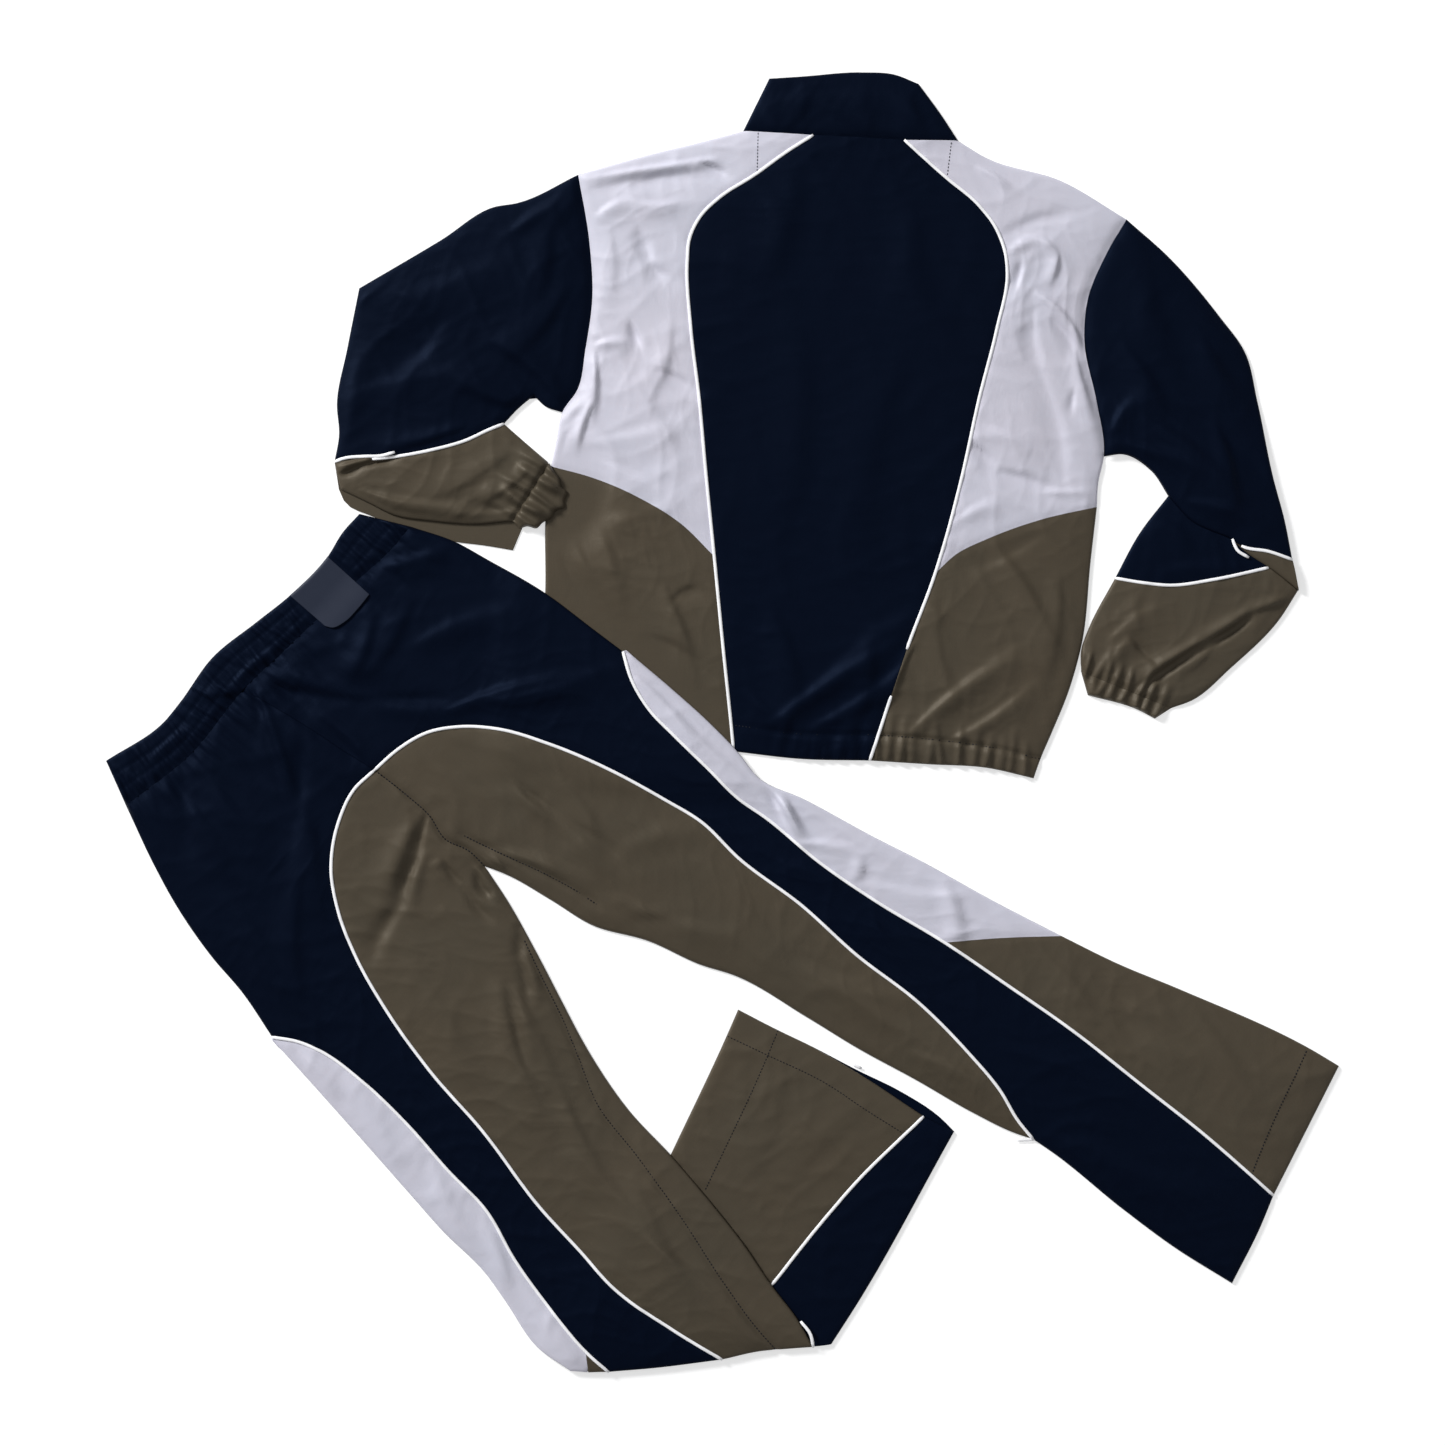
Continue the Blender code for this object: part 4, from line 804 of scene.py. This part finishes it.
# The right sleeve
# The navy upper arm folds over its own forearm at the elbow. A narrow olive strip of the forearm turns
# over the fold, and the lower forearm runs down to a gathered cuff.
LIFT_START, LIFT_REACH, ARM_LIFT = 210, 90, 3.8 * MM     # the rise over the forearm
FOREARM_STEP = 2.0 * MM
FOREARM_PUFF = 0.6 * PUFF
CUFF_RIGHT_GATHERS = (11, 4.6, 34, 22, 12)
ARM_RIGHT_CREASES = (
    (186, 285, 255, 325, 16, 2.2, 6), (255, 315, 320, 401, 15, 2.4, 7), (166, 359, 227, 405, 14, 2.0, -5),
    (252, 381, 340, 406, 12, 2.2, 5), (266, 280, 234, 300, 9, 2.2, 3), (110, 300, 200, 330, 20, 1.5, -8),
    (280, 290, 300, 380, 10, 1.8, 4), (240, 350, 300, 440, 13, -1.5, 6), (330, 360, 345, 440, 9, 1.8, 4),
    (130, 340, 170, 390, 16, 1.2, 4)
)
FOREARM_RIGHT_CREASES = (
    (414, 479, 434, 431, 5, 2.4, -1), (434, 431, 468, 386, 6, 3.2, 1), (468, 386, 514, 328, 6, 3.2, -1),
    (441, 436, 475, 393, 6, -2.2, 1), (475, 393, 520, 335, 6, -2.2, -1), (495, 346, 466, 317, 6, -2.0, 2),
    (400, 345, 396, 430, 10, 1.6, 5), (475, 299, 440, 345, 11, 1.6, 4), (430, 320, 480, 330, 12, 1.0, -4),
    (470, 400, 500, 370, 9, 1.4, 3), (505, 300, 470, 320, 8, 1.8, 3), (350, 330, 380, 370, 10, 1.4, 4)
)
top_upper, top_lower = seam(JACKET, (
    (55, 274), (88, 319), (143, 376), (175, 404), (225, 422), (295, 443), (341, 460), (378, 471)), 5)
pit_upper, pit_lower = seam(JACKET, ((293, 274), (289, 293), (303, 323), (326, 342)), 2)
arm_right_top, arm_right_pit = run(top_upper, top_lower), run(pit_upper, pit_lower)
arm_right_end = seam(JACKET, ((326, 342), (349, 367), (363, 407)))
elbow_right = seam(JACKET, ((363, 407), (370, 421), (372, 445), (378, 471)))
turn_right, turn_low = seam(JACKET, ((363, 407), (377, 427), (388, 448), (408, 480)), 2)
middle_in, lower_in = seam(JACKET, (
    (326, 342), (366, 317), (413, 297), (467, 275), (488, 270), (509, 272)), 2)
forearm_piping = seam(JACKET, ((413, 297), (415, 323), (415, 352), (405, 395), (388, 448)))
forearm_out = seam(JACKET, ((408, 480), (439, 464), (491, 421), (528, 384), (537, 365)))
cuff_right_out = seam(JACKET, ((532, 281), (542, 333), (549, 350)))
cuff_seam_right = straight(lower_in[-1], forearm_out[-1])
cuff_in, cuff_out = (straight(cuff_seam_right[k], cuff_right_out[k]) for k in (0, -1))
arm_right_edges = (arm_right_top, arm_right_pit, arm_right_end, run(turn_right, turn_low))
forearm_edges = (run(middle_in, lower_in, cuff_in), run(forearm_out, cuff_out), cuff_right_out)


def arm_right(place):
    """Work out the height of the upper arm, which rises over the forearm."""
    down, across = rows_of(JACKET, place)
    height = draped(place, JACKET, arm_right_edges, (armhole_right,), ARM_RIGHT_CREASES, 14)
    height += sunk(place, (elbow_right,), *ELBOW_SINK)
    return height + ARM_LIFT * eased((down - LIFT_START) / LIFT_REACH)


def forearm_right(place):
    """Work out the height of the forearm."""
    height = draped(place, JACKET, forearm_edges, (cuff_seam_right,), FOREARM_RIGHT_CREASES, 15,
                    puff=FOREARM_PUFF)
    gathers = gathered(place, cuff_seam_right, *CUFF_RIGHT_GATHERS)
    height += gathers * eased(near(place, forearm_edges) / EDGE_FADE)
    return height + sunk(place, (forearm_piping,), *PIPED_SINK)


HEAP_LOW, HEAP_CLEAR, HEAP_GROOVE = 0.1 * MM, 1.2 * MM, 1.0 * MM


def heaped(name, sides, ceiling, cloth, replaced, garment):
    """Round a fold's hidden layers off as one solid, with a groove between its layers all round."""
    bm, place = cut_out(sides, UNDER_STEP)
    raised(bm, place, np.maximum(UNDER_TOP, ceiling(place) - HEAP_CLEAR), garment)
    tops = {(round(vert.co.x, 6), round(vert.co.y, 6)): vert.co.z for vert in bm.verts}
    grown = bmesh.ops.extrude_face_region(bm, geom=bm.faces[:])["geom"]
    low = {item for item in grown if isinstance(item, bmesh.types.BMVert)}
    for vert in low:
        vert.co.z = HEAP_LOW
    upright = [edge for edge in bm.edges if (edge.verts[0] in low) != (edge.verts[1] in low)]
    ring = bmesh.ops.subdivide_edges(bm, edges=upright, cuts=3)["geom_inner"]
    bmesh.ops.recalc_face_normals(bm, faces=bm.faces)
    bm.normal_update()
    for vert in [item for item in ring if isinstance(item, bmesh.types.BMVert)]:
        top = tops[(round(vert.co.x, 6), round(vert.co.y, 6))]
        part = (vert.co.z - HEAP_LOW) / (top - HEAP_LOW)
        if abs(part - 0.5) < 0.1:
            vert.co.xy -= vert.normal.xy * HEAP_GROOVE
    return sewn_in(name, bm, cloth, replaced)


right_end = run(elbow_right[::-1], arm_right_end[::-1])
piece("arm_right", (arm_right_top, arm_right_pit, armhole_right, right_end), arm_right, navy_cloth,
      ["sleeve_right_upper"], JACKET)
fold_line = straight(top_upper[-1], pit_upper[-1])
under("arm_right_under", (top_upper, pit_upper, armhole_right, fold_line), navy_cloth,
      ["sleeve_right_upper_under"], JACKET)
turn_out = straight(elbow_right[-1], turn_low[-1])
turn = run(turn_right, turn_low)
piece("elbow_turn", (elbow_right, turn, elbow_right[:1].repeat(3, 0), turn_out), arm_right, olive_cloth,
      ["sleeve_right_turn"], JACKET, "folded", step=FINE_STEP)
heaped("elbow_fold", (run(top_lower, turn_out), pit_lower, fold_line, run(turn[::-1], arm_right_end[::-1])),
       arm_right, navy_cloth, ["sleeve_right_fold"], JACKET)
piece("forearm_right_middle", (run(arm_right_end, turn_right), forearm_piping, middle_in,
                               turn_right[-1:].repeat(3, 0)), forearm_right, navy_cloth,
      ["sleeve_right_middle"], JACKET)
piece("forearm_right_lower", (run(forearm_piping, turn_low), cuff_seam_right, lower_in, forearm_out),
      forearm_right, olive_cloth, ["sleeve_right_lower"], JACKET, step=FOREARM_STEP)
piece("cuff_right", (cuff_seam_right, cuff_right_out, cuff_in, cuff_out), forearm_right, olive_cloth,
      ["sleeve_right_cuff"], JACKET, "gathered", step=FOREARM_STEP)
under("forearm_right_under", (run(arm_right_end, turn_right, turn_low), cuff_right_out,
                              run(middle_in, lower_in, cuff_in), run(forearm_out, cuff_out)),
      olive_cloth, ["sleeve_right_lower_under"], JACKET)
piped("piping_elbow_right", elbow_right[20:], arm_right, ["sleeve_right_piping_upper"])
piped("piping_forearm_right", forearm_piping, forearm_right, ["sleeve_right_piping_lower"])
piped("piping_elbow_tick", seam(JACKET, ((363, 409), (374, 415), (380, 427))), arm_right, [])

# The waistband
# A wide elastic in a navy casing, shirred all round by two rows of stitching, with its front half under
# it. The gathers die away in the seat below. They stay flat where the patch is sewn on.
WAIST_DEEP = 0.7                 # millimetres, as far as the seam under the band sinks
WAIST_GATHERS, BAND_GATHERS, TOP_GATHERS = (11.5, 5.4, 70, 33), (8.0, 3.0, 30, 31, 8), (6.5, 0.9, 26, 32, 6)
BAND_ROWS, BAND_SINK, BAND_FADE = (0.34, 0.67), (0.7, 1.8), 9 * MM
PATCH_DOWN, PATCH_SIDES, PATCH_FADE = 74, (75, 129), 9   # the rows under the patch
BAND_CREASES = ((42, -27, 10, -60, 7, 1.8, 2), (30, -27, 36, 20, 6, 1.4, 2), (20, -140, 28, -90, 6, 1.2, 2))
band_left, patch_top, band_right = seam(TROUSERS, (
    (-13, -172), (4, -104), (3, -81), (-3, -23), (6, 32), (13, 74), (15, 128), (10, 156), (10, 181)), 5, 6)
waist_left, waist_right = seam(TROUSERS, (
    (32, -192), (46, -111), (42, -27), (47, 38), (53, 124), (58, 182), (57, 206)), 2)
waist_top = run(band_left, patch_top, band_right)
waist = run(waist_left, waist_right)
waist_ends = tuple(straight(waist_top[k], waist[k]) for k in (0, -1))
top_parts = lengths(waist_top) / lengths(waist_top)[-1]


def band_line(part):
    """Draw a line along the band, a part of the way from its top to its seam."""
    return waist_top * (1 - part) + at(waist, top_parts) * part


def clear_of_patch(place):
    """Say how free the band is to gather: 0 under the patch."""
    down, across = rows_of(TROUSERS, place)
    aside = np.maximum(PATCH_SIDES[0] - across, across - PATCH_SIDES[1])
    return eased(np.hypot(np.maximum(0.0, down - PATCH_DOWN), np.maximum(0.0, aside)) / PATCH_FADE)


def waist_gathers(place):
    return gathered(place, waist, *WAIST_GATHERS) * clear_of_patch(place)


def band_height(place):
    """Work out the height of the shirred waistband."""
    edge = near(place, (waist_top, *waist_ends))
    shirring = gathered(place, band_line(0.5), *BAND_GATHERS) + gathered(place, waist_top, *TOP_GATHERS)
    shirring *= eased(near(place, (waist,)) / BAND_FADE)
    rows = sum(sunk(place, (band_line(part),), *BAND_SINK) for part in BAND_ROWS)
    own = clear_of_patch(place) * (shirring + rows + creased(place, TROUSERS, BAND_CREASES))
    height = rolled(edge) + eased(edge / EDGE_FADE) * (waist_gathers(place) + own)
    return height + sunk(place, (waist,), WAIST_DEEP, SEAM_WIDE)


band_sides = (waist_top, waist, *waist_ends)
piece("waistband", band_sides, band_height, navy_cloth, ["trousers_waistband"],
      TROUSERS, "gathered", step=FINE_STEP)
under("waistband_front", band_sides, navy_cloth, ["trousers_waistband_front"], TROUSERS)

# The trousers' back
# Navy backs with olive thighs and light outer panels, piped at every curved seam. Both legs flare to
# plain turned hems, and the left leg's end is folded under.
OVER_JACKET, OVER_END = 3.6 * MM, 3.2 * MM       # how far the legs rise over what lies under them
CORNER_ACROSS, CORNER_DOWN = -277, 634   # the jacket's corner, in its own rows
END_DOWN, END_SLOPE, END_ACROSS = 671, 0.30, -86         # the line that the folded end starts at
BACK_OVER_JACKET, BACK_OVER_END, FRONT_OVER_JACKET = (12, 38), 60, (8, 34)      # full height, then falling
LEG_SINK, CROTCH_SINK = (0.8, 4.0), (2.0, 3.2)
FINE_PANELS = ("leg_shin_left", "thigh_left", "thigh_right")

TROUSERS_CREASES = (
    (46, -16, 147, -76, 9, 3.0, 5), (60, -10, 185, -20, 14, 1.8, -6), (47, 3, 123, 40, 8, 2.2, 3),
    (123, 40, 209, 97, 9, 2.6, -3), (209, 97, 276, 200, 11, 2.8, 4), (94, 1, 181, 7, 9, 2.2, 4),
    (57, 154, 101, 217, 10, 2.4, -4), (91, 111, 113, 51, 10, 2.0, 4), (108, 147, 120, 61, 14, 1.8, 5),
    (55, -150, 150, -170, 12, 2.2, 6), (60, -110, 190, -130, 16, 2.0, -8), (60, -70, 175, -95, 14, -1.6, 6),
    (130, -60, 250, -150, 18, 2.2, 8), (210, -130, 300, -230, 16, 1.8, -7), (70, 60, 150, 90, 14, 1.4, -5),
    (140, 120, 190, 210, 14, 2.0, 6), (235, 130, 300, 230, 13, 1.8, -5), (160, -190, 260, -220, 14, 1.6, 5),
    (263, 1, 282, -34, 5, -2.8, -1), (282, -34, 302, -81, 8, -3.4, -2), (302, -81, 316, -140, 9, -2.6, -2),
    (258, -15, 290, -86, 12, 2.4, -3), (290, -32, 311, -74, 9, 1.6, -2), (306, -20, 337, -26, 5, -2.2, -1),
    (337, -26, 380, -33, 5, -2.2, -1), (298, -33, 307, -18, 5, 1.0, 1), (334, -1, 346, 17, 4, 2.6, 2),
    (346, 17, 358, 10, 4, 2.6, 1), (337, -6, 363, -16, 5, -3.0, -2), (363, -16, 367, -7, 5, 1.2, 0),
    (408, -21, 430, -43, 5, -2.6, 0), (430, -43, 462, -65, 5, -2.6, 1), (423, -26, 468, -60, 6, 1.6, 1),
    (436, -67, 505, -120, 7, -2.0, 0), (447, -66, 506, -107, 7, 1.2, 0), (308, 85, 365, 89, 5, -1.8, 2),
    (365, 89, 429, 104, 5, -1.8, 2), (40, -16, 89, -42, 5, -2.8, 1), (89, -42, 148, -79, 6, -2.6, 1),
    (61, -2, 103, 20, 5, -2.4, -1), (103, 20, 193, 97, 7, -2.2, -3), (67, 0, 121, 4, 5, -2.4, 1),
    (121, 4, 177, -1, 6, -2.4, 1), (117, -20, 186, -119, 12, -2.0, 3), (48, -129, 116, -189, 10, -1.6, 2),
    (335, 20, 420, 60, 8, 2.4, 4), (306, 83, 365, 90, 7, 2.2, -4), (365, 90, 430, 80, 9, 1.4, 3),
    (338, 118, 414, 93, 13, 1.6, 5), (462, 69, 575, 120, 12, 1.8, -5), (480, 60, 520, 90, 7, -1.6, 3),
    (500, 150, 640, 120, 18, 1.5, 8), (640, 140, 740, 180, 16, 1.8, -6), (700, 150, 872, 170, 15, 1.6, 6),
    (430, 110, 470, 170, 14, 1.3, 5), (780, 150, 860, 175, 9, 1.5, 3), (330, 245, 420, 232, 9, 1.8, 3),
    (505, 262, 560, 238, 7, 2.8, -5), (530, 262, 640, 280, 7, 2.0, 3), (560, 235, 610, 262, 8, 2.2, 3),
    (610, 262, 625, 240, 6, 1.8, 2), (690, 300, 745, 262, 8, 2.6, 4), (640, 250, 720, 300, 12, 1.2, -4),
    (375, 245, 480, 240, 9, 1.5, -3), (820, 310, 900, 290, 16, 1.8, 6), (860, 340, 960, 300, 16, -1.4, 5),
    (900, 300, 1010, 345, 20, 1.6, -8), (960, 370, 1080, 330, 16, 1.2, 6), (850, 220, 980, 260, 18, 1.3, 7),
    (1000, 200, 1120, 260, 20, 1.2, -7), (940, 180, 1040, 215, 14, 1.3, 5),
    (560, 205, 620, 225, 11, 1.8, 4), (620, 215, 720, 230, 13, 1.3, -5), (440, -70, 541, -115, 12, 2.0, 4),
    (430, -75, 560, -150, 14, 2.6, -6), (541, -110, 640, -150, 12, 2.2, -4),
    (600, -150, 760, -175, 15, 1.8, 7), (350, -120, 480, -170, 18, 1.4, 8),
    (660, -130, 830, -190, 14, 1.5, -6), (700, -165, 860, -165, 11, 1.4, 4),
    (460, -190, 600, -225, 15, 1.2, 6), (488, 253, 550, 230, 5, -2.4, 2), (494, 258, 552, 236, 6, 2.4, 2),
    (500, 262, 592, 293, 4, -1.8, 0), (335, -3, 380, -8, 4, 3.0, 2), (330, -258, 380, -262, 7, 1.8, 2),
    (380, -245, 470, -275, 10, 1.5, 4), (500, -252, 590, -285, 9, 1.9, -4),
    (580, -262, 640, -295, 8, 1.8, 3), (650, -285, 740, -305, 10, 1.5, 4),
    (250, -170, 420, -215, 20, 1.2, 8)
)
centre_back, crotch = seam(TROUSERS, (
    (42, -27), (106, -13), (159, -5), (193, 1), (235, 4), (264, 4), (291, -3), (317, 4), (339, 3)), 3)
outer_left = seam(TROUSERS, ((32, -192), (94, -218), (134, -232), (197, -247), (243, -253), (295, -266)))
outer_upper, outer_folded = seam(TROUSERS, (
    (298, -268), (410, -280), (506, -291), (550, -296), (612, -299), (644, -306), (701, -319),
    (740, -314)), 4)
outer_piping_left, toe_left = seam(TROUSERS, (
    (295, -266), (317, -252), (339, -244), (393, -238), (455, -240), (516, -247), (570, -251), (625, -269),
    (687, -282), (738, -289), (769, -289)), 9)
arch_left = seam(TROUSERS, (
    (193, 1), (191, -27), (201, -61), (226, -100), (261, -128), (300, -148), (355, -167), (436, -185),
    (514, -194), (610, -213), (665, -218), (719, -223), (785, -215), (845, -204)))
arch_right = seam(TROUSERS, (
    (193, 1), (197, 34), (207, 64), (228, 91), (257, 114), (307, 138), (369, 159), (428, 173), (470, 181),
    (523, 179), (600, 186), (675, 186), (751, 192), (823, 188), (872, 181), (904, 171), (929, 167)))
inner_upper, inner_turn, inner_lower, inner_toe = seam(TROUSERS, (
    (339, 3), (378, -7), (434, -26), (490, -47), (525, -60), (550, -68), (610, -82), (670, -87), (744, -97),
    (779, -103), (832, -116), (874, -124), (904, -134)), 6, 7, 10)
inner_right = seam(TROUSERS, (
    (339, 3), (360, 11), (410, 22), (458, 31), (511, 57), (565, 74), (598, 89), (678, 106), (737, 117),
    (804, 133), (865, 146), (913, 160), (929, 167)))
inner_low = seam(TROUSERS, ((929, 167), (951, 170), (1042, 175), (1105, 181), (1173, 193)))
fold_left = seam(TROUSERS, ((769, -289), (800, -256), (845, -204)))
fold_inner = seam(TROUSERS, ((845, -204), (868, -172), (882, -157), (904, -134)))
outer_right = seam(TROUSERS, ((57, 206), (99, 224), (137, 233), (198, 246), (264, 252), (298, 255)))
outer_right_low = seam(TROUSERS, (
    (300, 258), (360, 260), (410, 260), (452, 257), (484, 252), (530, 266), (612, 286), (656, 298),
    (742, 318), (814, 337)))
shin_right = seam(TROUSERS, ((814, 337), (874, 354), (936, 376), (1081, 421), (1107, 426)))
piping_thigh, piping_shin = seam(TROUSERS, (
    (298, 255), (323, 240), (359, 229), (389, 227), (440, 225), (483, 223), (515, 227), (587, 230),
    (654, 239), (731, 254), (804, 264), (884, 274), (975, 280), (1053, 285), (1114, 286), (1145, 286)), 9)
hem_stripe = seam(TROUSERS, ((1173, 193), (1157, 252), (1145, 286)))
hem_shin = seam(TROUSERS, ((1145, 286), (1107, 426)))
cross_leg = seam(TROUSERS, ((731, 254), (773, 298), (814, 337)))
inseam_left = seam(TROUSERS, (
    (405, -20), (455, -41), (498, -58), (536, -76), (581, -98), (646, -110), (712, -124), (795, -146),
    (846, -157), (878, -161)))
inseam_right = seam(TROUSERS, ((302, 12), (317, 16), (334, 21), (385, 37), (417, 45), (449, 50)))
hem_sewn = seam(TROUSERS, ((1114, 286), (1101, 321), (1072, 416)))
outer_left_low, outer_piping_right = run(outer_upper, outer_folded), run(piping_thigh, piping_shin)
inner_folded = run(inner_turn, inner_lower, inner_toe)
inner_left = run(inner_upper, inner_folded)
corner_left = outer_left_low[-1]
split_left = laid(TROUSERS, ((754, -303),))[0]
toe_hem = straight(corner_left, split_left)
leg_edges = (run(outer_left, outer_left_low, toe_hem, straight(split_left, fold_left[0]), fold_left,
                 fold_inner),
             inner_left, inner_right, run(outer_right, outer_right_low), shin_right, hem_shin, hem_stripe,
             inner_low)
leg_seams = (outer_piping_left, outer_piping_right, arch_left, arch_right, centre_back, cross_leg)


def over_jacket(place, full, fall):
    """Rise over the jacket's corner: full within a reach of it, then falling away."""
    down, across = rows_of(JACKET, place)
    apart = np.hypot(np.maximum(0.0, CORNER_ACROSS - across), np.maximum(0.0, down - CORNER_DOWN))
    return OVER_JACKET * eased(1 - (apart - full) / fall)


def over_end(place, fall):
    """Rise over the leg's folded end, which lies past the line from its toe to its inner corner."""
    down, across = rows_of(TROUSERS, place)
    apart = np.maximum(0.0, END_DOWN + END_SLOPE * (END_ACROSS - across) - down)
    return np.where(across < 0, OVER_END * eased(1 - apart / fall), 0.0)


def trousers_top(place):
    """Work out the height of the trousers' back, as it lies over the jacket's corner and its own end."""
    height = draped(place, TROUSERS, leg_edges, (waist,), TROUSERS_CREASES, 16, deep=WAIST_DEEP)
    height += sunk(place, leg_seams, *LEG_SINK)
    height += sunk(place, (crotch, inseam_left, inseam_right), *CROTCH_SINK)
    height += waist_gathers(place) * eased(near(place, leg_edges) / EDGE_FADE)
    return height + over_jacket(place, *BACK_OVER_JACKET) + over_end(place, BACK_OVER_END)


TROUSERS_PANELS = (
    ("seat_left", navy_cloth, "trousers_back_left", "leg_front_left",
     (waist_left, fold_left, run(outer_left, outer_piping_left, toe_left), run(centre_back, arch_left))),
    ("seat_right", navy_cloth, "trousers_back_right", "leg_front_right",
     (waist_right, hem_stripe, run(centre_back, arch_right, inner_low),
      run(outer_right, outer_piping_right))),
    ("thigh_left", olive_cloth, "trousers_inner_left", "leg_front_left",
     (crotch, fold_inner, arch_left, inner_left)),
    ("thigh_right", olive_cloth, "trousers_inner_right", "leg_front_right",
     (crotch[::-1], arch_right[-1:].repeat(3, 0), inner_right, arch_right)),
    ("leg_outer_left", light_cloth, "trousers_outer_left", "leg_front_left",
     (straight(outer_left_low[0], outer_piping_left[0]), run(toe_hem, straight(split_left, toe_left[0])),
      outer_left_low, outer_piping_left)),
    ("leg_shin_left", olive_cloth, "trousers_shin_left", "leg_end_fold",
     (toe_left[:1].repeat(3, 0), straight(split_left, toe_left[-1]), straight(toe_left[0], split_left),
      toe_left)),
    ("leg_outer_right", light_cloth, "trousers_outer_right", "leg_front_right",
     (straight(piping_thigh[0], outer_right_low[0]), cross_leg, piping_thigh, outer_right_low)),
    ("leg_shin_right", olive_cloth, "trousers_shin_right", "leg_front_right",
     (cross_leg, hem_shin, piping_shin, shin_right)),
)
for name, cloth, node, below, sides in TROUSERS_PANELS:
    piece(name, sides, trousers_top, cloth, [node], TROUSERS,
          step=FINE_STEP if name in FINE_PANELS else STEP)
for place, line in (("arch_left", arch_left), ("arch_right", arch_right),
                    ("outer_left", run(outer_piping_left, toe_left)), ("outer_right", outer_piping_right)):
    piped("piping_" + place, line, trousers_top, ["trousers_piping_" + place])
piped("piping_fold_second", seam(TROUSERS, ((877, -123), (893, -126), (904, -134))), trousers_top, [])
# The wide navy stitches along the crotch and the inseams are partly real stitching and partly painted
# shade: they draw the dark line of the shadow in the seams' folds.
stitched("stitches_trousers", [hem_sewn, crotch, inseam_left[6:], inseam_right], trousers_top, navy_thread,
         lift=0.3, thick=2.5)

# The patch
# A bare patch of slate woven tape, sewn over the waistband's upper edge beside the middle of the back.
# Its low edge is rounded at one corner and lies on the seat's gathers.
PATCH_OVER, PATCH_RISE = 1.3 * MM, 3.2 * MM      # how far it lies over the band, and over the seat
PATCH_BENDS, PATCH_BEND_LONG = 38, 34
PATCH_STEP, PATCH_THICK = 1.6 * MM, 0.9 * MM
slate_patch = spun("slate_patch", (0.016, 0.021, 0.038), (0.021, 0.027, 0.046), 0.5, 0.15)


def patch_height(place):
    down, _ = rows_of(TROUSERS, place)
    rise = PATCH_RISE * eased((down - PATCH_BENDS) / PATCH_BEND_LONG)
    return PATCH_OVER + rolled(near(place, (waist_top,))) + rise


patch_low = seam(TROUSERS, ((60, 75), (67, 79), (72, 91), (73, 110), (72, 128)))
patch_ends = tuple(straight(patch_top[k], patch_low[k]) for k in (0, -1))
patch = piece("waist_patch", (patch_top, patch_low, *patch_ends), patch_height, slate_patch,
              ["trousers_patch"], TROUSERS, step=PATCH_STEP, thick=PATCH_THICK)

# The trousers' front and the folded end
# The plain navy front lies on the table and over the jacket's corner. The left leg's end is turned back
# under the leg and shows its olive front with the navy stripe beside it.
END_PUFF, END_SINK = 1.2 * MM, (0.5, 4.0)
END_CREASES = ((690, 60, 740, -60, 20, 0.9, 6), (780, 70, 770, -40, 22, 0.9, -6))
end_top = seam(TROUSERS, ((623, 66), (665, 77), (699, 87), (754, 99), (832, 111)))
end_left = seam(TROUSERS, ((623, 66), (632, 39), (670, -87)))
end_piping = seam(TROUSERS, ((832, 111), (830, 85), (826, 25), (827, -38), (832, -116)))
end_right = seam(TROUSERS, ((865, 120), (909, -77), (916, -120)))
end_under = seam(TROUSERS, (
    (623, 66), (665, 77), (699, 87), (753, 101), (799, 114), (846, 121), (865, 120)))
end_hem_sewn = seam(TROUSERS, ((632, 39), (675, 52), (737, 70), (784, 77), (830, 85)))
end_side_seam = seam(TROUSERS, ((666, 78), (676, 50), (719, -90)))
end_tip = straight(end_piping[0], end_right[0])
toe_right = straight(inner_toe[-1], end_right[-1])
end_edges = (run(end_top, end_tip), end_left, end_right)


def end_height(place):
    """Work out the height of the turned-back end, pressed flat where the leg lies on it."""
    height = draped(place, TROUSERS, end_edges, (inner_left,), END_CREASES, 17, puff=END_PUFF)
    return height + sunk(place, (end_piping,), *END_SINK)


def front_height(place):
    return UNDER_TOP + over_jacket(place, *FRONT_OVER_JACKET)


def at_edge(place):
    return np.full(len(place), LIE)


cut_line = straight(outer_upper[-1], inner_upper[-1])
front_left = (waist_left, cut_line, run(outer_left, outer_upper), run(centre_back, crotch, inner_upper))
under("leg_front_left", front_left, navy_cloth, ["trousers_front_left"], TROUSERS)
front_right = (waist_right, run(hem_stripe, hem_shin), run(centre_back, crotch, inner_right, inner_low),
               run(outer_right, outer_right_low, shin_right))
under("leg_front_right", front_right, navy_cloth, ["trousers_front_right"], TROUSERS,
      front_height)
folded_edge = run(straight(outer_folded[-1], fold_left[0]), fold_left, fold_inner)
heaped("leg_end_fold", (cut_line, folded_edge, outer_folded, inner_folded),
       trousers_top, olive_cloth, ["trousers_end_fold"], TROUSERS)
piece("leg_end", (end_top, inner_lower, end_left, end_piping), end_height, olive_cloth,
      ["trousers_end_inner"], TROUSERS, "folded")
piece("leg_end_stripe", (end_tip, run(inner_toe, toe_right), end_piping, end_right), end_height, navy_cloth,
      ["trousers_end_stripe"], TROUSERS, "folded")
under("leg_end_under", (end_under, run(inner_lower, inner_toe, toe_right), end_left, end_right), navy_cloth,
      ["trousers_end_under"], TROUSERS)
piped("piping_leg_end", end_piping, end_height, ["trousers_piping_end"])
piped("piping_end_tab", seam(TROUSERS, ((744, 102), (754, 105))), at_edge, [])
piped("piping_shin_tab", seam(TROUSERS, ((917, 155), (930, 168))), at_edge, [])
stitched("stitches_leg_end", [end_hem_sewn, end_side_seam], end_height, navy_thread,
         thick=2.0)

size = [[list(corner) for corner in cad_box], [list(corner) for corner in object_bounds()]]
